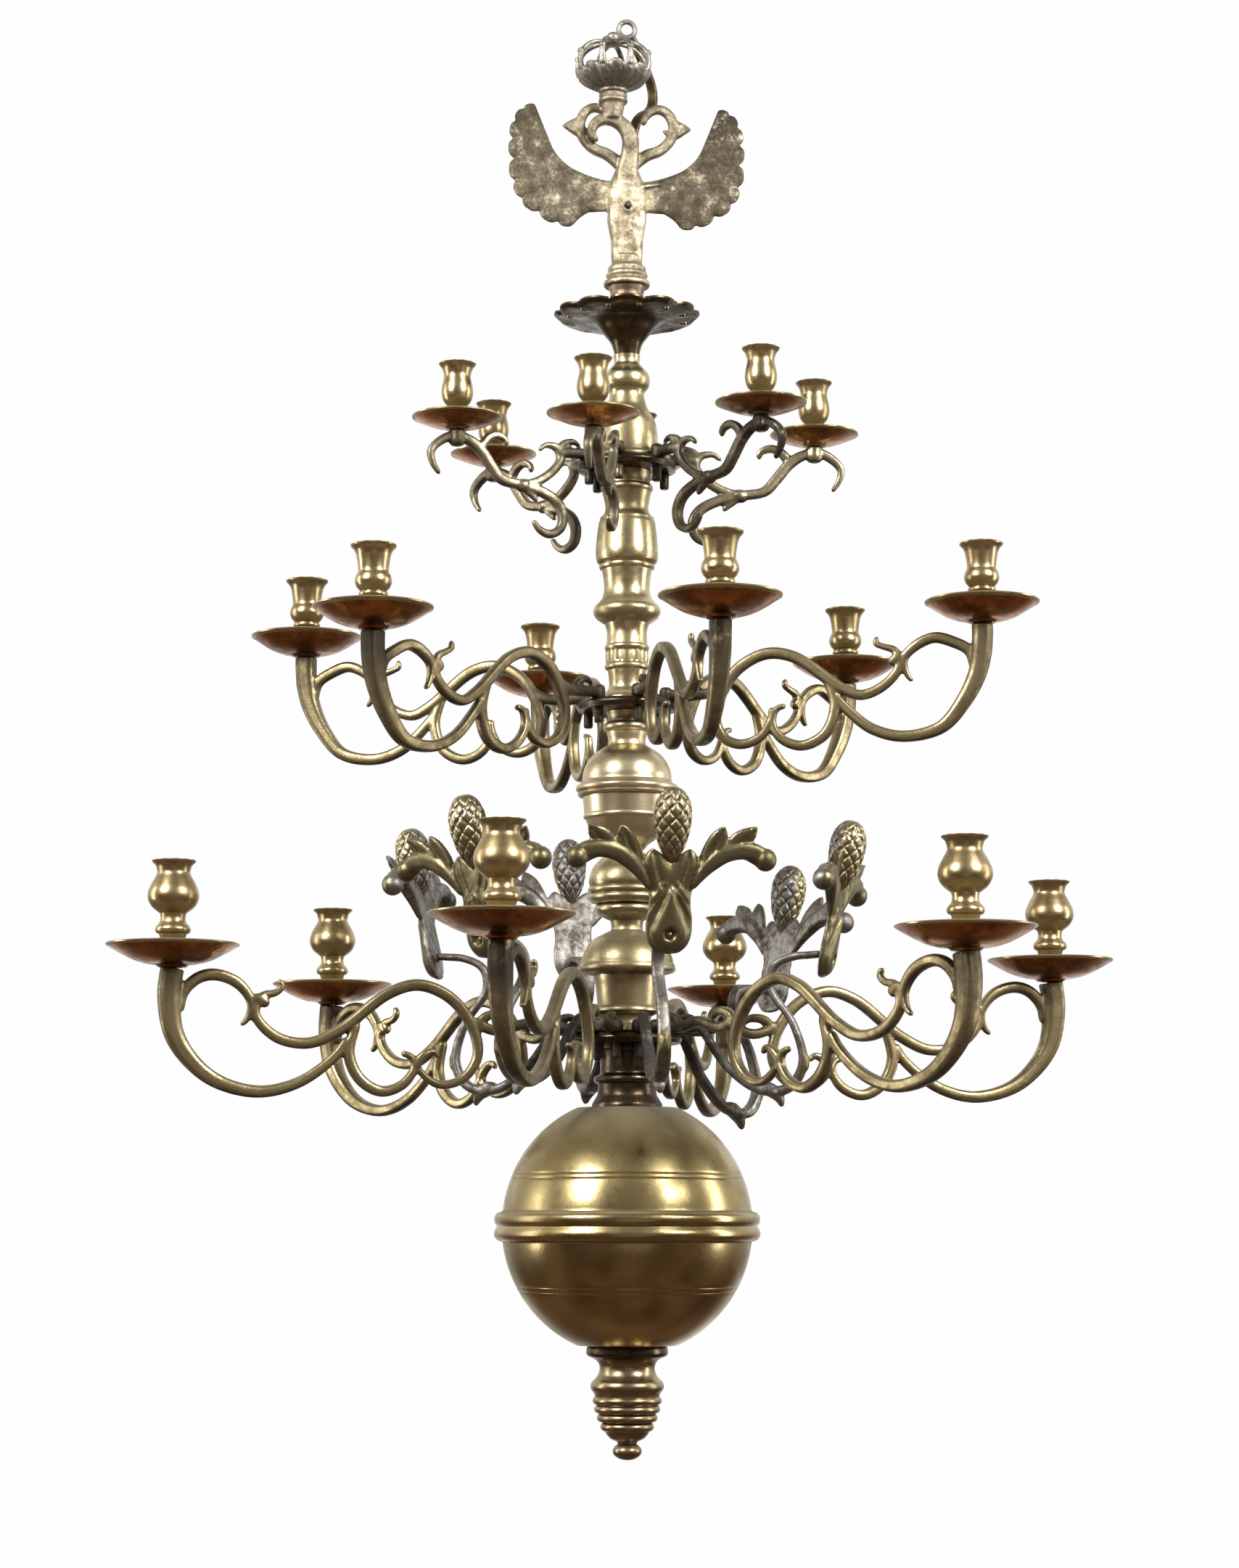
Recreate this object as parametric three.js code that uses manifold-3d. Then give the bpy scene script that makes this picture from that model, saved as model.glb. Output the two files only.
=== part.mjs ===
// A three-tier brass chandelier for eighteen candles: a stack of turned sections on an iron rod,
// scrolled arms that hang by pegs in three round plates, and a crowned eagle at the top.
// Millimetres, +Z up. Heights in the source are above the ball's equator; the finished
// group is lowered so that its origin is the centre of the hanging eye.
import * as THREE from "three";
import { mergeVertices } from "three/addons/utils/BufferGeometryUtils.js";
import Module from "manifold-3d";

const wasm = await Module();
wasm.setup();

// Clearances
const seatGap = 0.3;
const boreClearance = 0.4;
const pegClearance = 0.7;

// Share of a scroll's length over which its ends thin out
const slimEndShare = 0.16;

// Iron rod and the bores it runs in
const rodRadius = 4;
const rodDepthInFinial = 58;
const rodHeightInEagle = 78;

// Facets round a turned section of the stem
const sectionSides = 14;

// Ball
const ballRadius = 104.5;
const ballHalfHeight = 107;
const ballPoleCut = 9;
const ballFlatHeight = ballHalfHeight - ballPoleCut;
const ballWall = 2.5;
const equatorRingRadius = 110.8;
const equatorRingHalfHeight = 13;

// Finial
const finialLength = 93.6;
const finialRadius = 33.7;

// Turned sections between the ball and the eagle: height and greatest radius of each
const neckDrumHeight = 52.4;
const neckDrumRadius = 29.5;
const bellUrnHeight = 87.2;
const bellUrnRadius = 41;
const ringedBulbHeight = 67;
const ringedBulbRadius = 33;
const smallBallHeight = 118.6;
const smallBallRadius = 43.3;
const mainBalusterHeight = 199.4;
const mainBalusterRadius = 28.5;
const upperBalusterHeight = 93.7;
const upperBalusterRadius = 28;
const topDishHeight = 60.4;
const topDishRadius = 63;

// Plates that carry the arms
const plateThickness = 8;
const plateChamfer = 1.8;
const lowerPlateRadius = 46;
const middlePlateRadius = 43;
const topPlateRadius = 43;
const pegCircle = 34;
const pegRadius = 4;
const pegLength = 13;
const tailHalfHeight = 4.5;
const tailHalfWidth = 4.2;

// Arms: radius of each ring of candles, and height of its drip-pan rims above the arm plate
const armsPerTier = 6;
const lowerReach = 381;
const lowerRimAbovePlate = 69;
const middleReach = 289;
const middleRimAbovePlate = 69;
const topReach = 153;
const topRimAbovePlate = 33;
const lowerTurn = -14.5;
const middleTurn = 15.7;
const topTurn = -11.4;

// Where each arm was left standing about its peg, in degrees
const lowerSwings = [0.6, -3.4, -0.8, 0.4, 0, -2.6];
const middleSwings = [-1.5, 5, 0.6, 0.7, 0, 0.4];
const topSwings = [1.4, -2.6, -15, 9, 2.8, 2.6];
const ornamentSwings = [-6, 0, -6, 0, 0, 1.5];

// How far each cup stands above or below its tier's common height, in millimetres
const lowerSags = [0, -2, 1, -6, -8, 0];
const middleSags = [-29, 8, -1, -4, 0, -25];
const topSags = [-26, -6, -4, 0, -3, -6];
const ornamentSags = [0, -10, -30, 0, -6, 0];

// How much further out each cup stands than its tier's common reach
const lowerReaches = [0, 0, 0, 0, 0, 0];
const middleReaches = [0, 13, 0, 0, 0, 0];
const topReaches = [0, 0, 11, 0, 0, 0];
const levelAtPlate = 20;
const levelUnderCup = 12;

// Half sizes of the cast bars: posts in the arm's plane and across it, strands in the plane
const lowerPostHalf = 10.5;
const lowerPostHalfAcross = 9.5;
const lowerStrandHalf = 3.5;
const middlePostHalf = 9.2;
const middlePostHalfAcross = 8.4;
const middleStrandHalf = 3.1;
const topScrollHalf = 3.6;
const topStrandHalf = 3.1;

// Candle cups
const lowerCandleRadius = 11;
const middleCandleRadius = 10.5;
const topCandleRadius = 9.5;
const lowerSocketFloor = 40;
const middleSocketFloor = 30;
const topSocketFloor = 24;
const lowerPanRadius = 55;
const middlePanRadius = 48;
const topPanRadius = 38;
const lowerLipHeight = 68.5;
const middleLipHeight = 50;
const topLipHeight = 46;
const studRadius = 3;
const studLength = 11;
const studClearance = 0.6;
const topPostRadius = 7;

// Leaf ornaments between the lower arms
const ornamentTurn = 16;
const ornamentRadius = 166;
const ornamentFoot = 55;
const ornamentLean = 12;
const leafThickness = 5;
const leafHalfWidth = 85;
const leafHeight = 99;
const coneRadius = 15;
const coneTop = 127;
const bossRadius = 15;
const bossTop = 52;

// Eagle, crown and hanger
const eagleTurn = 6;
const eagleBaseHeight = 16;
const wingThickness = 6;
const featherBulge = 8;
const crownNeckForward = 10;
const crownSideways = -13;
const crownSeat = 169;
const crownBandRadius = 34;
const crownArches = 8;
const eyeAboveEagleBase = 231;
const eyeRadius = 9.5;
const eyeHoleRadius = 4.8;
const eyeThickness = 6;
const strapHalfWidth = 4;
const strapHalfThickness = 2.6;
const strapDistance = 17.5;
const strapTwist = 33;
const strapTwistFrom = 100;
const strapTwistTo = 165;
const crossPinLength = 36;
const crossPinHeight = 70;
const crossPinRadius = 2;
const pinClearance = 0.5;

const brass = { color: 0xa8843c, roughness: 0.35, metalness: 1 };
const armBrass = { color: 0x8f7a45, roughness: 0.45, metalness: 1 };
const paleBrass = { color: 0xa89c7c, roughness: 0.5, metalness: 1 };
const darkBronze = { color: 0x2a211b, roughness: 0.45, metalness: 1 };
const greyPatina = { color: 0x8a8271, roughness: 0.55, metalness: 1 };
const iron = { color: 0x3c3733, roughness: 0.6, metalness: 1 };

const turn = (degrees) => (degrees * Math.PI) / 180;

// Solids: a closed geometry as a manifold, turned the right way out, and back again
function solidOf(geometry) {
  const bare = geometry.index ? geometry.toNonIndexed() : geometry.clone();
  const positions = new THREE.BufferGeometry();
  positions.setAttribute("position", bare.getAttribute("position"));
  const merged = mergeVertices(positions, 1e-3);
  const triVerts = new Uint32Array(merged.index.array);
  const vertProperties = merged.attributes.position.array;
  const made = new wasm.Manifold(new wasm.Mesh({ numProp: 3, vertProperties, triVerts }));
  if (made.volume() > 0) return made;
  for (let i = 0; i < triVerts.length; i += 3) {
    [triVerts[i + 1], triVerts[i + 2]] = [triVerts[i + 2], triVerts[i + 1]];
  }
  return new wasm.Manifold(new wasm.Mesh({ numProp: 3, vertProperties, triVerts }));
}

function geometryOf(solid) {
  const mesh = solid.getMesh();
  const positions = new Float32Array(mesh.numVert * 3);
  for (let i = 0; i < mesh.numVert; i++) {
    positions.set(mesh.vertProperties.subarray(i * mesh.numProp, i * mesh.numProp + 3), i * 3);
  }
  const geometry = new THREE.BufferGeometry();
  geometry.setAttribute("position", new THREE.BufferAttribute(positions, 3));
  geometry.setIndex(new THREE.BufferAttribute(new Uint32Array(mesh.triVerts), 1));
  return geometry;
}

function joined(solids) {
  return solids.reduce((whole, next) => whole.add(next));
}

function namedMesh(name, geometry, finish) {
  const mesh = new THREE.Mesh(geometry, new THREE.MeshStandardMaterial(finish));
  mesh.name = name;
  return mesh;
}

// Turning: an outline of [radius, height] pairs revolved about Z.
// Without a bore it starts and ends on the axis; with one it closes along the bore's wall.
function turned(outline, bore, sides) {
  const points = outline.map(([r, z]) => new THREE.Vector2(r, z));
  const [first, last] = [outline[0], outline[outline.length - 1]];
  if (bore > 0) {
    points.push(new THREE.Vector2(bore, last[1]));
    points.push(new THREE.Vector2(bore, first[1]));
    points.push(new THREE.Vector2(first[0], first[1]));
  }
  return new THREE.LatheGeometry(points, sides).rotateX(Math.PI / 2);
}

// An outline as it was drawn, made to a greatest radius and a greatest height
function sized(outline, radius, height) {
  const drawnRadius = Math.max(...outline.map(([r]) => r));
  const drawnHeight = Math.max(...outline.map(([, z]) => z));
  return outline.map(([r, z]) => [(r * radius) / drawnRadius, (z * height) / drawnHeight]);
}

function cylinder(radius, bottom, top, sides) {
  return turned([[0, bottom], [radius, bottom], [radius, top], [0, top]], 0, sides);
}

// Casting: a bar that follows points [x, z] in one upright plane. sizeAt gives the half sizes
// in the plane and across it for the share of the length already covered.
const tapered = (start, end) => (share) => start.map((size, i) => size + (end[i] - size) * share);
const slimEnds = (full, tip) => (share) => {
  const rise = Math.min(1, Math.min(share, 1 - share) / slimEndShare);
  return full.map((size, i) => tip[i] + (size - tip[i]) * rise);
};

function arc(centre, radii, from, to, steps, endScale = 1) {
  const points = [];
  for (let i = 0; i <= steps; i++) {
    const share = i / steps;
    const angle = turn(from + (to - from) * share);
    const scale = 1 + (endScale - 1) * share;
    points.push([
      centre[0] + radii[0] * scale * Math.cos(angle),
      centre[1] + radii[1] * scale * Math.sin(angle),
    ]);
  }
  return points;
}

function bar(path, sizeAt, sides = 4) {
  const points = path.map(([x, z]) => new THREE.Vector2(x, z));
  const lengths = [0];
  for (let i = 1; i < points.length; i++) {
    lengths.push(lengths[i - 1] + points[i].distanceTo(points[i - 1]));
  }
  const positions = [];
  points.forEach((point, i) => {
    const before = points[Math.max(i - 1, 0)];
    const after = points[Math.min(i + 1, points.length - 1)];
    const along = after.clone().sub(before).normalize();
    const share = lengths[i] / lengths[points.length - 1];
    const [inPlane, across] = sizeAt(share);
    for (let k = 0; k < sides; k++) {
      const angle = (2 * Math.PI * k) / sides;
      const shift = inPlane * Math.cos(angle);
      positions.push(point.x - along.y * shift, across * Math.sin(angle), point.y + along.x * shift);
    }
  });
  const index = [];
  for (let i = 0; i < points.length - 1; i++) {
    for (let k = 0; k < sides; k++) {
      const [a, b] = [i * sides + k, i * sides + ((k + 1) % sides)];
      index.push(a, b, a + sides, b, b + sides, a + sides);
    }
  }
  const lastRing = (points.length - 1) * sides;
  for (let k = 1; k < sides - 1; k++) {
    index.push(0, k + 1, k);
    index.push(lastRing, lastRing + k, lastRing + k + 1);
  }
  const geometry = new THREE.BufferGeometry();
  geometry.setAttribute("position", new THREE.Float32BufferAttribute(positions, 3));
  geometry.setIndex(index);
  return geometry;
}

// Flat castings: an outline of [x, z] points as a slab across Y
function slab(shape, thickness, curveSegments = 3) {
  const options = { depth: thickness, bevelEnabled: false, curveSegments };
  const geometry = new THREE.ExtrudeGeometry(shape, options);
  return geometry.translate(0, 0, -thickness / 2).rotateX(Math.PI / 2);
}

const chandelier = new THREE.Group();
const stem = new THREE.Group();
chandelier.add(stem);
const bore = rodRadius + boreClearance;

// Seats along the stem, each found from the piece below it
const neckDrumSeat = ballFlatHeight + seatGap;
const lowerPlateSeat = neckDrumSeat + neckDrumHeight + seatGap;
const bellUrnSeat = lowerPlateSeat + plateThickness + seatGap;
const ringedBulbSeat = bellUrnSeat + bellUrnHeight + seatGap;
const smallBallSeat = ringedBulbSeat + ringedBulbHeight + seatGap;
const middlePlateSeat = smallBallSeat + smallBallHeight + seatGap;
const mainBalusterSeat = middlePlateSeat + plateThickness + seatGap;
const topPlateSeat = mainBalusterSeat + mainBalusterHeight + seatGap;
const upperBalusterSeat = topPlateSeat + plateThickness + seatGap;
const topDishSeat = upperBalusterSeat + upperBalusterHeight + seatGap;
const eagleSeat = topDishSeat + topDishHeight + seatGap;
const eyeHeight = eagleSeat + eyeAboveEagleBase;

// Ball: two cast shells, each with half of the ring at the equator
function ballShell() {
  const rimHeight = equatorRingHalfHeight;
  const reachOf = (z, wall) => (ballRadius - wall) * Math.sqrt(1 - (z / (ballHalfHeight - wall)) ** 2);
  const outline = [
    [equatorRingRadius, seatGap / 2],
    [equatorRingRadius - 1.5, rimHeight * 0.75],
    [reachOf(rimHeight, 0), rimHeight],
  ];
  for (const share of [0.36, 0.58, 0.76, 0.9]) {
    outline.push([reachOf(ballFlatHeight * share, 0), ballFlatHeight * share]);
  }
  outline.push([reachOf(ballFlatHeight, 0), ballFlatHeight]);
  outline.push([bore, ballFlatHeight]);
  outline.push([bore, ballFlatHeight - ballWall]);
  for (const share of [0.93, 0.7, 0.4]) {
    outline.push([reachOf(ballFlatHeight * share, ballWall), ballFlatHeight * share]);
  }
  outline.push([ballRadius - ballWall, seatGap / 2]);
  outline.push(outline[0]);
  return turned(outline, 0, 24);
}

stem.add(namedMesh("ball_upper_half", ballShell(), brass));
const lowerHalf = geometryOf(solidOf(ballShell().rotateX(Math.PI)));
stem.add(namedMesh("ball_lower_half", lowerHalf, brass));

// Finial: a turned drop that closes the stack and is screwed onto the rod
const finialTop = -ballFlatHeight - seatGap;
const finialDrop = [
  [0, 0],
  [9, 2.6],
  [12.2, 9.6],
  [9.5, 16.6],
  [16, 22.6],
  [25, 41.6],
  [28, 51.6],
  [30.5, 62.6],
  [27.3, 67.6],
  [23, 77.6],
  [26, 84.6],
  [33.7, 88.6],
  [33.7, 93.6],
];
const rodHoleFloor = finialLength - rodDepthInFinial - 2;
const finialOutline = [
  ...sized(finialDrop, finialRadius, finialLength),
  [bore, finialLength],
  [bore, rodHoleFloor],
  [0, rodHoleFloor],
];
const finial = namedMesh("finial", turned(finialOutline, 0, sectionSides), brass);
finial.position.z = finialTop - finialLength;
stem.add(finial);

// Turned sections: outlines from the seat of each piece upwards
const neckDrum = [
  [29.5, 0],
  [28.5, 4],
  [24.5, 11],
  [24.5, 20],
  [27.5, 22.5],
  [27.5, 25.5],
  [22.5, 28],
  [22.5, 49.4],
  [24, 52.4],
];
const bellUrn = [
  [25, 0],
  [26, 4],
  [20, 9],
  [20, 15],
  [27, 20],
  [25.2, 24],
  [28.5, 52],
  [39.5, 55],
  [41, 59],
  [39.5, 66],
  [35, 76],
  [26, 83.5],
  [13.6, 87.2],
];
const ringedBulb = [
  [13.6, 0],
  [13.6, 8],
  [25, 16],
  [27, 19],
  [25, 22.5],
  [31, 25],
  [33, 31],
  [31, 37],
  [32, 44],
  [30, 52],
  [22, 60.5],
  [13, 67],
];
const smallBall = [
  [13, 0],
  [17, 4],
  [27, 13],
  [35, 25],
  [37.5, 40],
  [38, 50],
  [43.3, 53],
  [43.3, 56],
  [38, 59.5],
  [37, 67],
  [32, 78],
  [20, 90],
  [15.5, 94],
  [17, 101],
  [14.5, 106],
  [17, 110],
  [16, 118.6],
];
const mainBaluster = [
  [24, 0],
  [23, 5],
  [17, 10],
  [18, 20],
  [18, 54],
  [17, 64],
  [22.6, 73],
  [28.5, 77],
  [28.5, 85],
  [19.5, 93],
  [20.4, 111],
  [25, 122],
  [26.7, 131],
  [24.4, 158],
  [18.8, 167],
  [21, 184],
  [20, 199.4],
];
const upperBaluster = [
  [27, 0],
  [28, 5],
  [26.5, 26],
  [24, 37],
  [18.5, 49],
  [15, 58],
  [15.4, 62],
  [19.4, 71],
  [19.4, 76],
  [15, 84],
  [11, 90],
  [11.5, 93.7],
];
const topDish = [
  [12, 0],
  [15.3, 6],
  [24, 16],
  [34, 23],
  [60, 33],
  [63, 36],
  [62, 39],
  [44, 33],
  [24, 32],
  [18, 42],
  [14.2, 51],
  [16, 60.4],
];
const sections = [
  ["neck_drum", neckDrum, neckDrumRadius, neckDrumHeight, neckDrumSeat, darkBronze],
  ["bell_urn", bellUrn, bellUrnRadius, bellUrnHeight, bellUrnSeat, brass],
  ["ringed_bulb", ringedBulb, ringedBulbRadius, ringedBulbHeight, ringedBulbSeat, brass],
  ["small_ball", smallBall, smallBallRadius, smallBallHeight, smallBallSeat, brass],
  ["main_baluster", mainBaluster, mainBalusterRadius, mainBalusterHeight, mainBalusterSeat, brass],
  ["upper_baluster", upperBaluster, upperBalusterRadius, upperBalusterHeight, upperBalusterSeat, brass],
  ["top_dish", topDish, topDishRadius, topDishHeight, topDishSeat, darkBronze],
];
for (const [name, outline, radius, height, seat, finish] of sections) {
  const geometry = turned(sized(outline, radius, height), bore, sectionSides);
  const section = namedMesh(name, geometry, finish);
  section.position.z = seat;
  stem.add(section);
}

// Arm plates: chamfered discs with a ring of round holes for the pegs
function armPlate(radius, holeCount, firstHole) {
  const outline = [
    [radius - plateChamfer, 0],
    [radius, plateChamfer],
    [radius, plateThickness - plateChamfer],
    [radius - plateChamfer, plateThickness],
  ];
  let plate = solidOf(turned(outline, bore, 18));
  for (let k = 0; k < holeCount; k++) {
    const angle = turn(firstHole + (360 * k) / holeCount - 90);
    const hole = cylinder(pegRadius + pegClearance, -1, plateThickness + 1, 8);
    hole.translate(pegCircle * Math.cos(angle), pegCircle * Math.sin(angle), 0);
    plate = plate.subtract(solidOf(hole));
  }
  return geometryOf(plate);
}

// The lower plate's holes for arms and ornaments lie on one circle, at two pitches
function lowerArmPlate() {
  let plate = solidOf(armPlate(lowerPlateRadius, armsPerTier, lowerTurn));
  for (let k = 0; k < armsPerTier; k++) {
    const angle = turn(ornamentTurn + (360 * k) / armsPerTier - 90);
    const hole = cylinder(pegRadius + pegClearance, -1, plateThickness + 1, 8);
    hole.translate(pegCircle * Math.cos(angle), pegCircle * Math.sin(angle), 0);
    plate = plate.subtract(solidOf(hole));
  }
  return geometryOf(plate);
}

const plates = [
  ["lower_arm_plate", lowerArmPlate(), lowerPlateSeat],
  ["middle_arm_plate", armPlate(middlePlateRadius, armsPerTier, middleTurn), middlePlateSeat],
  ["top_arm_plate", armPlate(topPlateRadius, armsPerTier, topTurn), topPlateSeat],
];
for (const [name, geometry, seat] of plates) {
  const plate = namedMesh(name, geometry, darkBronze);
  plate.position.z = seat;
  stem.add(plate);
}

// Iron rod through the whole stack, from the finial into the eagle's foot
const rodBottom = finialTop - rodDepthInFinial;
const rodTop = eagleSeat + rodHeightInEagle;
const pinHoleRadius = crossPinRadius + pinClearance;
const pinBore = new THREE.CylinderGeometry(pinHoleRadius, pinHoleRadius, 90, 8);
const pinHole = solidOf(pinBore).translate([0, 0, crossPinHeight]);
const pinHoleInStem = pinHole.rotate([0, 0, eagleTurn]).translate([0, 0, eagleSeat]);
const rod = solidOf(cylinder(rodRadius, rodBottom, rodTop, 12)).subtract(pinHoleInStem);
stem.add(namedMesh("centre_rod", geometryOf(rod), iron));

// Candle cups: drip pan and candle socket turned as one, with a stud below that goes into the arm.
// Heights are above the pan's rim.
function candleCup(outline, candleRadius, socketFloor) {
  const bottom = outline[0][1];
  const rimTop = outline[outline.length - 1][1];
  const points = [
    [0, bottom - studLength],
    [studRadius, bottom - studLength],
    [studRadius, bottom],
    ...outline,
    [candleRadius, rimTop],
    [candleRadius, socketFloor],
    [0, socketFloor],
  ];
  return turned(points, 0, 10);
}

const lowerCup = sized([
  [9, -19],
  [30, -14.5],
  [55, -0.6],
  [54, 1.2],
  [28, -9.5],
  [12, -12],
  [14.2, 14],
  [10.3, 25],
  [21, 40],
  [13.4, 59],
  [18, 68.5],
], lowerPanRadius, lowerLipHeight);
const middleCup = sized([
  [9, -18],
  [26, -14],
  [48, -0.6],
  [47, 1.2],
  [25, -9],
  [9.5, -11],
  [9.5, 11],
  [14.6, 21],
  [12.3, 28],
  [13.6, 42],
  [18.3, 50],
], middlePanRadius, middleLipHeight);
const topCup = sized([
  [7, -11],
  [20, -8],
  [38, -0.6],
  [37, 1],
  [18, -4.5],
  [7, -6],
  [6.5, 8],
  [13.3, 22],
  [11.3, 35],
  [15.7, 46],
], topPanRadius, topLipHeight);

// Arms. Each lies in one upright plane: x runs out from the peg's axis, z up from the plate's top.
// The strands are fused where they cross, as in the casting.
// Each is drawn for one place of its post's top, and is stretched with that place.
function stretched(points, drawnPost, postX, postTop) {
  return points.map(([x, z]) => [(x * postX) / drawnPost[0], (z * postTop) / drawnPost[1]]);
}

function strand(controls, steps) {
  const points = new THREE.SplineCurve(controls.map(([x, z]) => new THREE.Vector2(x, z)));
  return points.getSpacedPoints(steps).map((point) => [point.x, point.y]);
}

function tailAndPeg(root, stemSizes) {
  const tailZ = seatGap + tailHalfHeight;
  const path = [root, [pegRadius + 10, tailZ], [-pegRadius, tailZ]];
  const pegBottom = -plateThickness - pegLength;
  const shank = bar(path, tapered(stemSizes, [tailHalfHeight, tailHalfWidth]));
  return [shank, cylinder(pegRadius, pegBottom, tailZ, 8)];
}

function studHole(x, top) {
  const hole = cylinder(studRadius + studClearance, top - studLength - 1, top + 1, 8);
  return solidOf(hole).translate([x, 0, 0]);
}

// An arm that has been bent in use, down or up and in or out: level over the plate and under the cup
function bent(solid, postX, sag, out) {
  const geometry = geometryOf(solid);
  const position = geometry.getAttribute("position");
  for (let i = 0; i < position.count; i++) {
    const covered = (position.getX(i) - levelAtPlate) / (postX - levelUnderCup - levelAtPlate);
    const share = THREE.MathUtils.clamp(covered, 0, 1);
    position.setX(i, position.getX(i) + out * share);
    position.setZ(i, position.getZ(i) + sag * share);
  }
  return geometry;
}

// Lower and middle arms: the post sweeps down and in to the S-scroll that carries the big arch,
// with a small scroll inside the arch and a cap scroll beside the post
function scrolledArm(postX, postTop, postSizes, half, strands) {
  const thin = [half, half * 1.1];
  const tip = [half * 0.55, half * 0.7];
  const placed = (points) => stretched(points, strands.drawnPost, postX, postTop);
  const post = [[postX, postTop], [postX, postTop - 4], ...strand(placed(strands.post), 6)];
  const [shoulder] = placed([strands.shoulder]);
  const solids = [
    bar(post, tapered(postSizes, [half * 1.1, half * 1.2]), 6),
    bar(strand(placed(strands.scroll), 15), slimEnds(thin, tip)),
    bar(strand(placed(strands.smallScroll), 5), tapered(thin, tip)),
    bar(strand(placed(strands.capScroll), 4), tapered(thin, tip)),
    ...tailAndPeg(shoulder, thin),
  ];
  return joined(solids.map(solidOf)).subtract(studHole(postX, postTop));
}

const lowerStrands = {
  drawnPost: [347, 49.7],
  post: [[350, 28], [345, -3], [331, -25], [309, -42], [275, -50], [242, -42], [213, -21], [202, -6]],
  scroll: [
    [257, 36], [275, 30], [277, 12], [262, -5], [235, -10], [209, 1], [168, 32],
    [143, 39], [116, 28], [97, 2], [94, -20], [106, -38], [126, -43], [142, -32], [146, -21],
  ],
  smallScroll: [[195, 8], [201, -19], [192, -39], [174, -49], [156, -43], [147, -30], [146, -21]],
  capScroll: [[341, 20], [332, 37], [312, 45], [293, 38], [282, 22], [284, 11]],
  shoulder: [98, 4],
};
const middleStrands = {
  drawnPost: [255, 50.7],
  post: [[252, 20], [250, 8], [239, -14], [221, -35], [191, -41], [166, -33], [146, -15], [136, -3]],
  scroll: [
    [173, 39], [186, 34], [188, 18], [176, 3], [158, -4], [142, 3], [104, 32],
    [82, 36], [60, 25], [48, 8], [41, -14], [47, -33], [62, -40], [78, -34], [86, -18],
  ],
  smallScroll: [[130, 13], [137, -12], [129, -35], [111, -44], [95, -38], [87, -25], [90, -12]],
  capScroll: [[245, 24], [232, 36], [216, 41], [200, 34], [192, 24], [194, 14]],
  shoulder: [50, 10],
};

// Top arms: a saddle under the pan, a knob, and volutes above and below the knob
const topStrands = {
  drawnPost: [119, 21.7],
  scroll: [
    [134, -17], [141, -3], [137, 10], [122, 17.7], [98, 6], [79, -19], [60, -24],
    [42, -30], [29, -39], [24, -51], [36, -65], [51, -54],
  ],
  branchCurl: [[98, 8], [88, 17], [77, 17], [75, 9]],
  upperVolute: [[60, -24], [44, -19], [26, -2], [34, 11], [46, 6]],
  knob: [60, -24],
  shoulder: [28, 4],
};

function volutedArm(postX, postTop) {
  const thin = [topStrandHalf, topStrandHalf * 1.16];
  const tip = [topStrandHalf * 0.55, topStrandHalf * 0.74];
  const placed = (points) => stretched(points, topStrands.drawnPost, postX, postTop);
  const [knobPlace, shoulder] = placed([topStrands.knob, topStrands.shoulder]);
  const knob = turned([[0, -5], [5.5, -3], [5.5, 3], [0, 5]], 0, 6).rotateY(Math.PI / 2);
  knob.translate(knobPlace[0], 0, knobPlace[1]);
  const post = cylinder(topPostRadius, postTop - studLength - 3, postTop, 8).translate(postX, 0, 0);
  const solids = [
    bar(strand(placed(topStrands.scroll), 13), slimEnds([topScrollHalf, topScrollHalf * 1.11], tip)),
    bar(strand(placed(topStrands.branchCurl), 3), tapered(thin, tip)),
    bar(strand(placed(topStrands.upperVolute), 5), tapered(thin, tip)),
    post,
    knob,
    ...tailAndPeg(shoulder, thin),
  ];
  return joined(solids.map(solidOf)).subtract(studHole(postX, postTop));
}

// Each tier: six arms about their pegs, each with its candle cup on its post
function addTier(tier, sizes, armSolid, cupGeometry, armFinish) {
  const postX = sizes.reach - pegCircle;
  for (let k = 0; k < armsPerTier; k++) {
    const spoke = new THREE.Group();
    spoke.rotation.z = turn(sizes.firstTurn + (360 * k) / armsPerTier - 90);
    spoke.position.z = sizes.plateTop;
    const pivot = new THREE.Group();
    pivot.position.x = pegCircle;
    pivot.rotation.z = turn(sizes.swings[k]);
    const out = sizes.reaches[k];
    const arm = bent(armSolid, postX, sizes.sags[k], out);
    const candleCup = namedMesh(`${tier}_candle_cup_${k + 1}`, cupGeometry, brass);
    candleCup.position.set(postX + out, 0, sizes.rimAbovePlate + sizes.sags[k]);
    pivot.add(namedMesh(`${tier}_arm_${k + 1}`, arm, armFinish), candleCup);
    spoke.add(pivot);
    chandelier.add(spoke);
  }
}

const lowerTier = {
  firstTurn: lowerTurn,
  reach: lowerReach,
  rimAbovePlate: lowerRimAbovePlate,
  plateTop: lowerPlateSeat + plateThickness,
  swings: lowerSwings,
  sags: lowerSags,
  reaches: lowerReaches,
};
const middleTier = {
  firstTurn: middleTurn,
  reach: middleReach,
  rimAbovePlate: middleRimAbovePlate,
  plateTop: middlePlateSeat + plateThickness,
  swings: middleSwings,
  sags: middleSags,
  reaches: middleReaches,
};
const topTier = {
  firstTurn: topTurn,
  reach: topReach,
  rimAbovePlate: topRimAbovePlate,
  plateTop: topPlateSeat + plateThickness,
  swings: topSwings,
  sags: topSags,
  reaches: topReaches,
};
const postTopOf = (tier, cup) => tier.rimAbovePlate + cup[0][1] - seatGap;
const lowerPostSizes = [lowerPostHalf, lowerPostHalfAcross];
const lowerArm = scrolledArm(
  lowerReach - pegCircle, postTopOf(lowerTier, lowerCup), lowerPostSizes, lowerStrandHalf, lowerStrands,
);
const middlePostSizes = [middlePostHalf, middlePostHalfAcross];
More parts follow.
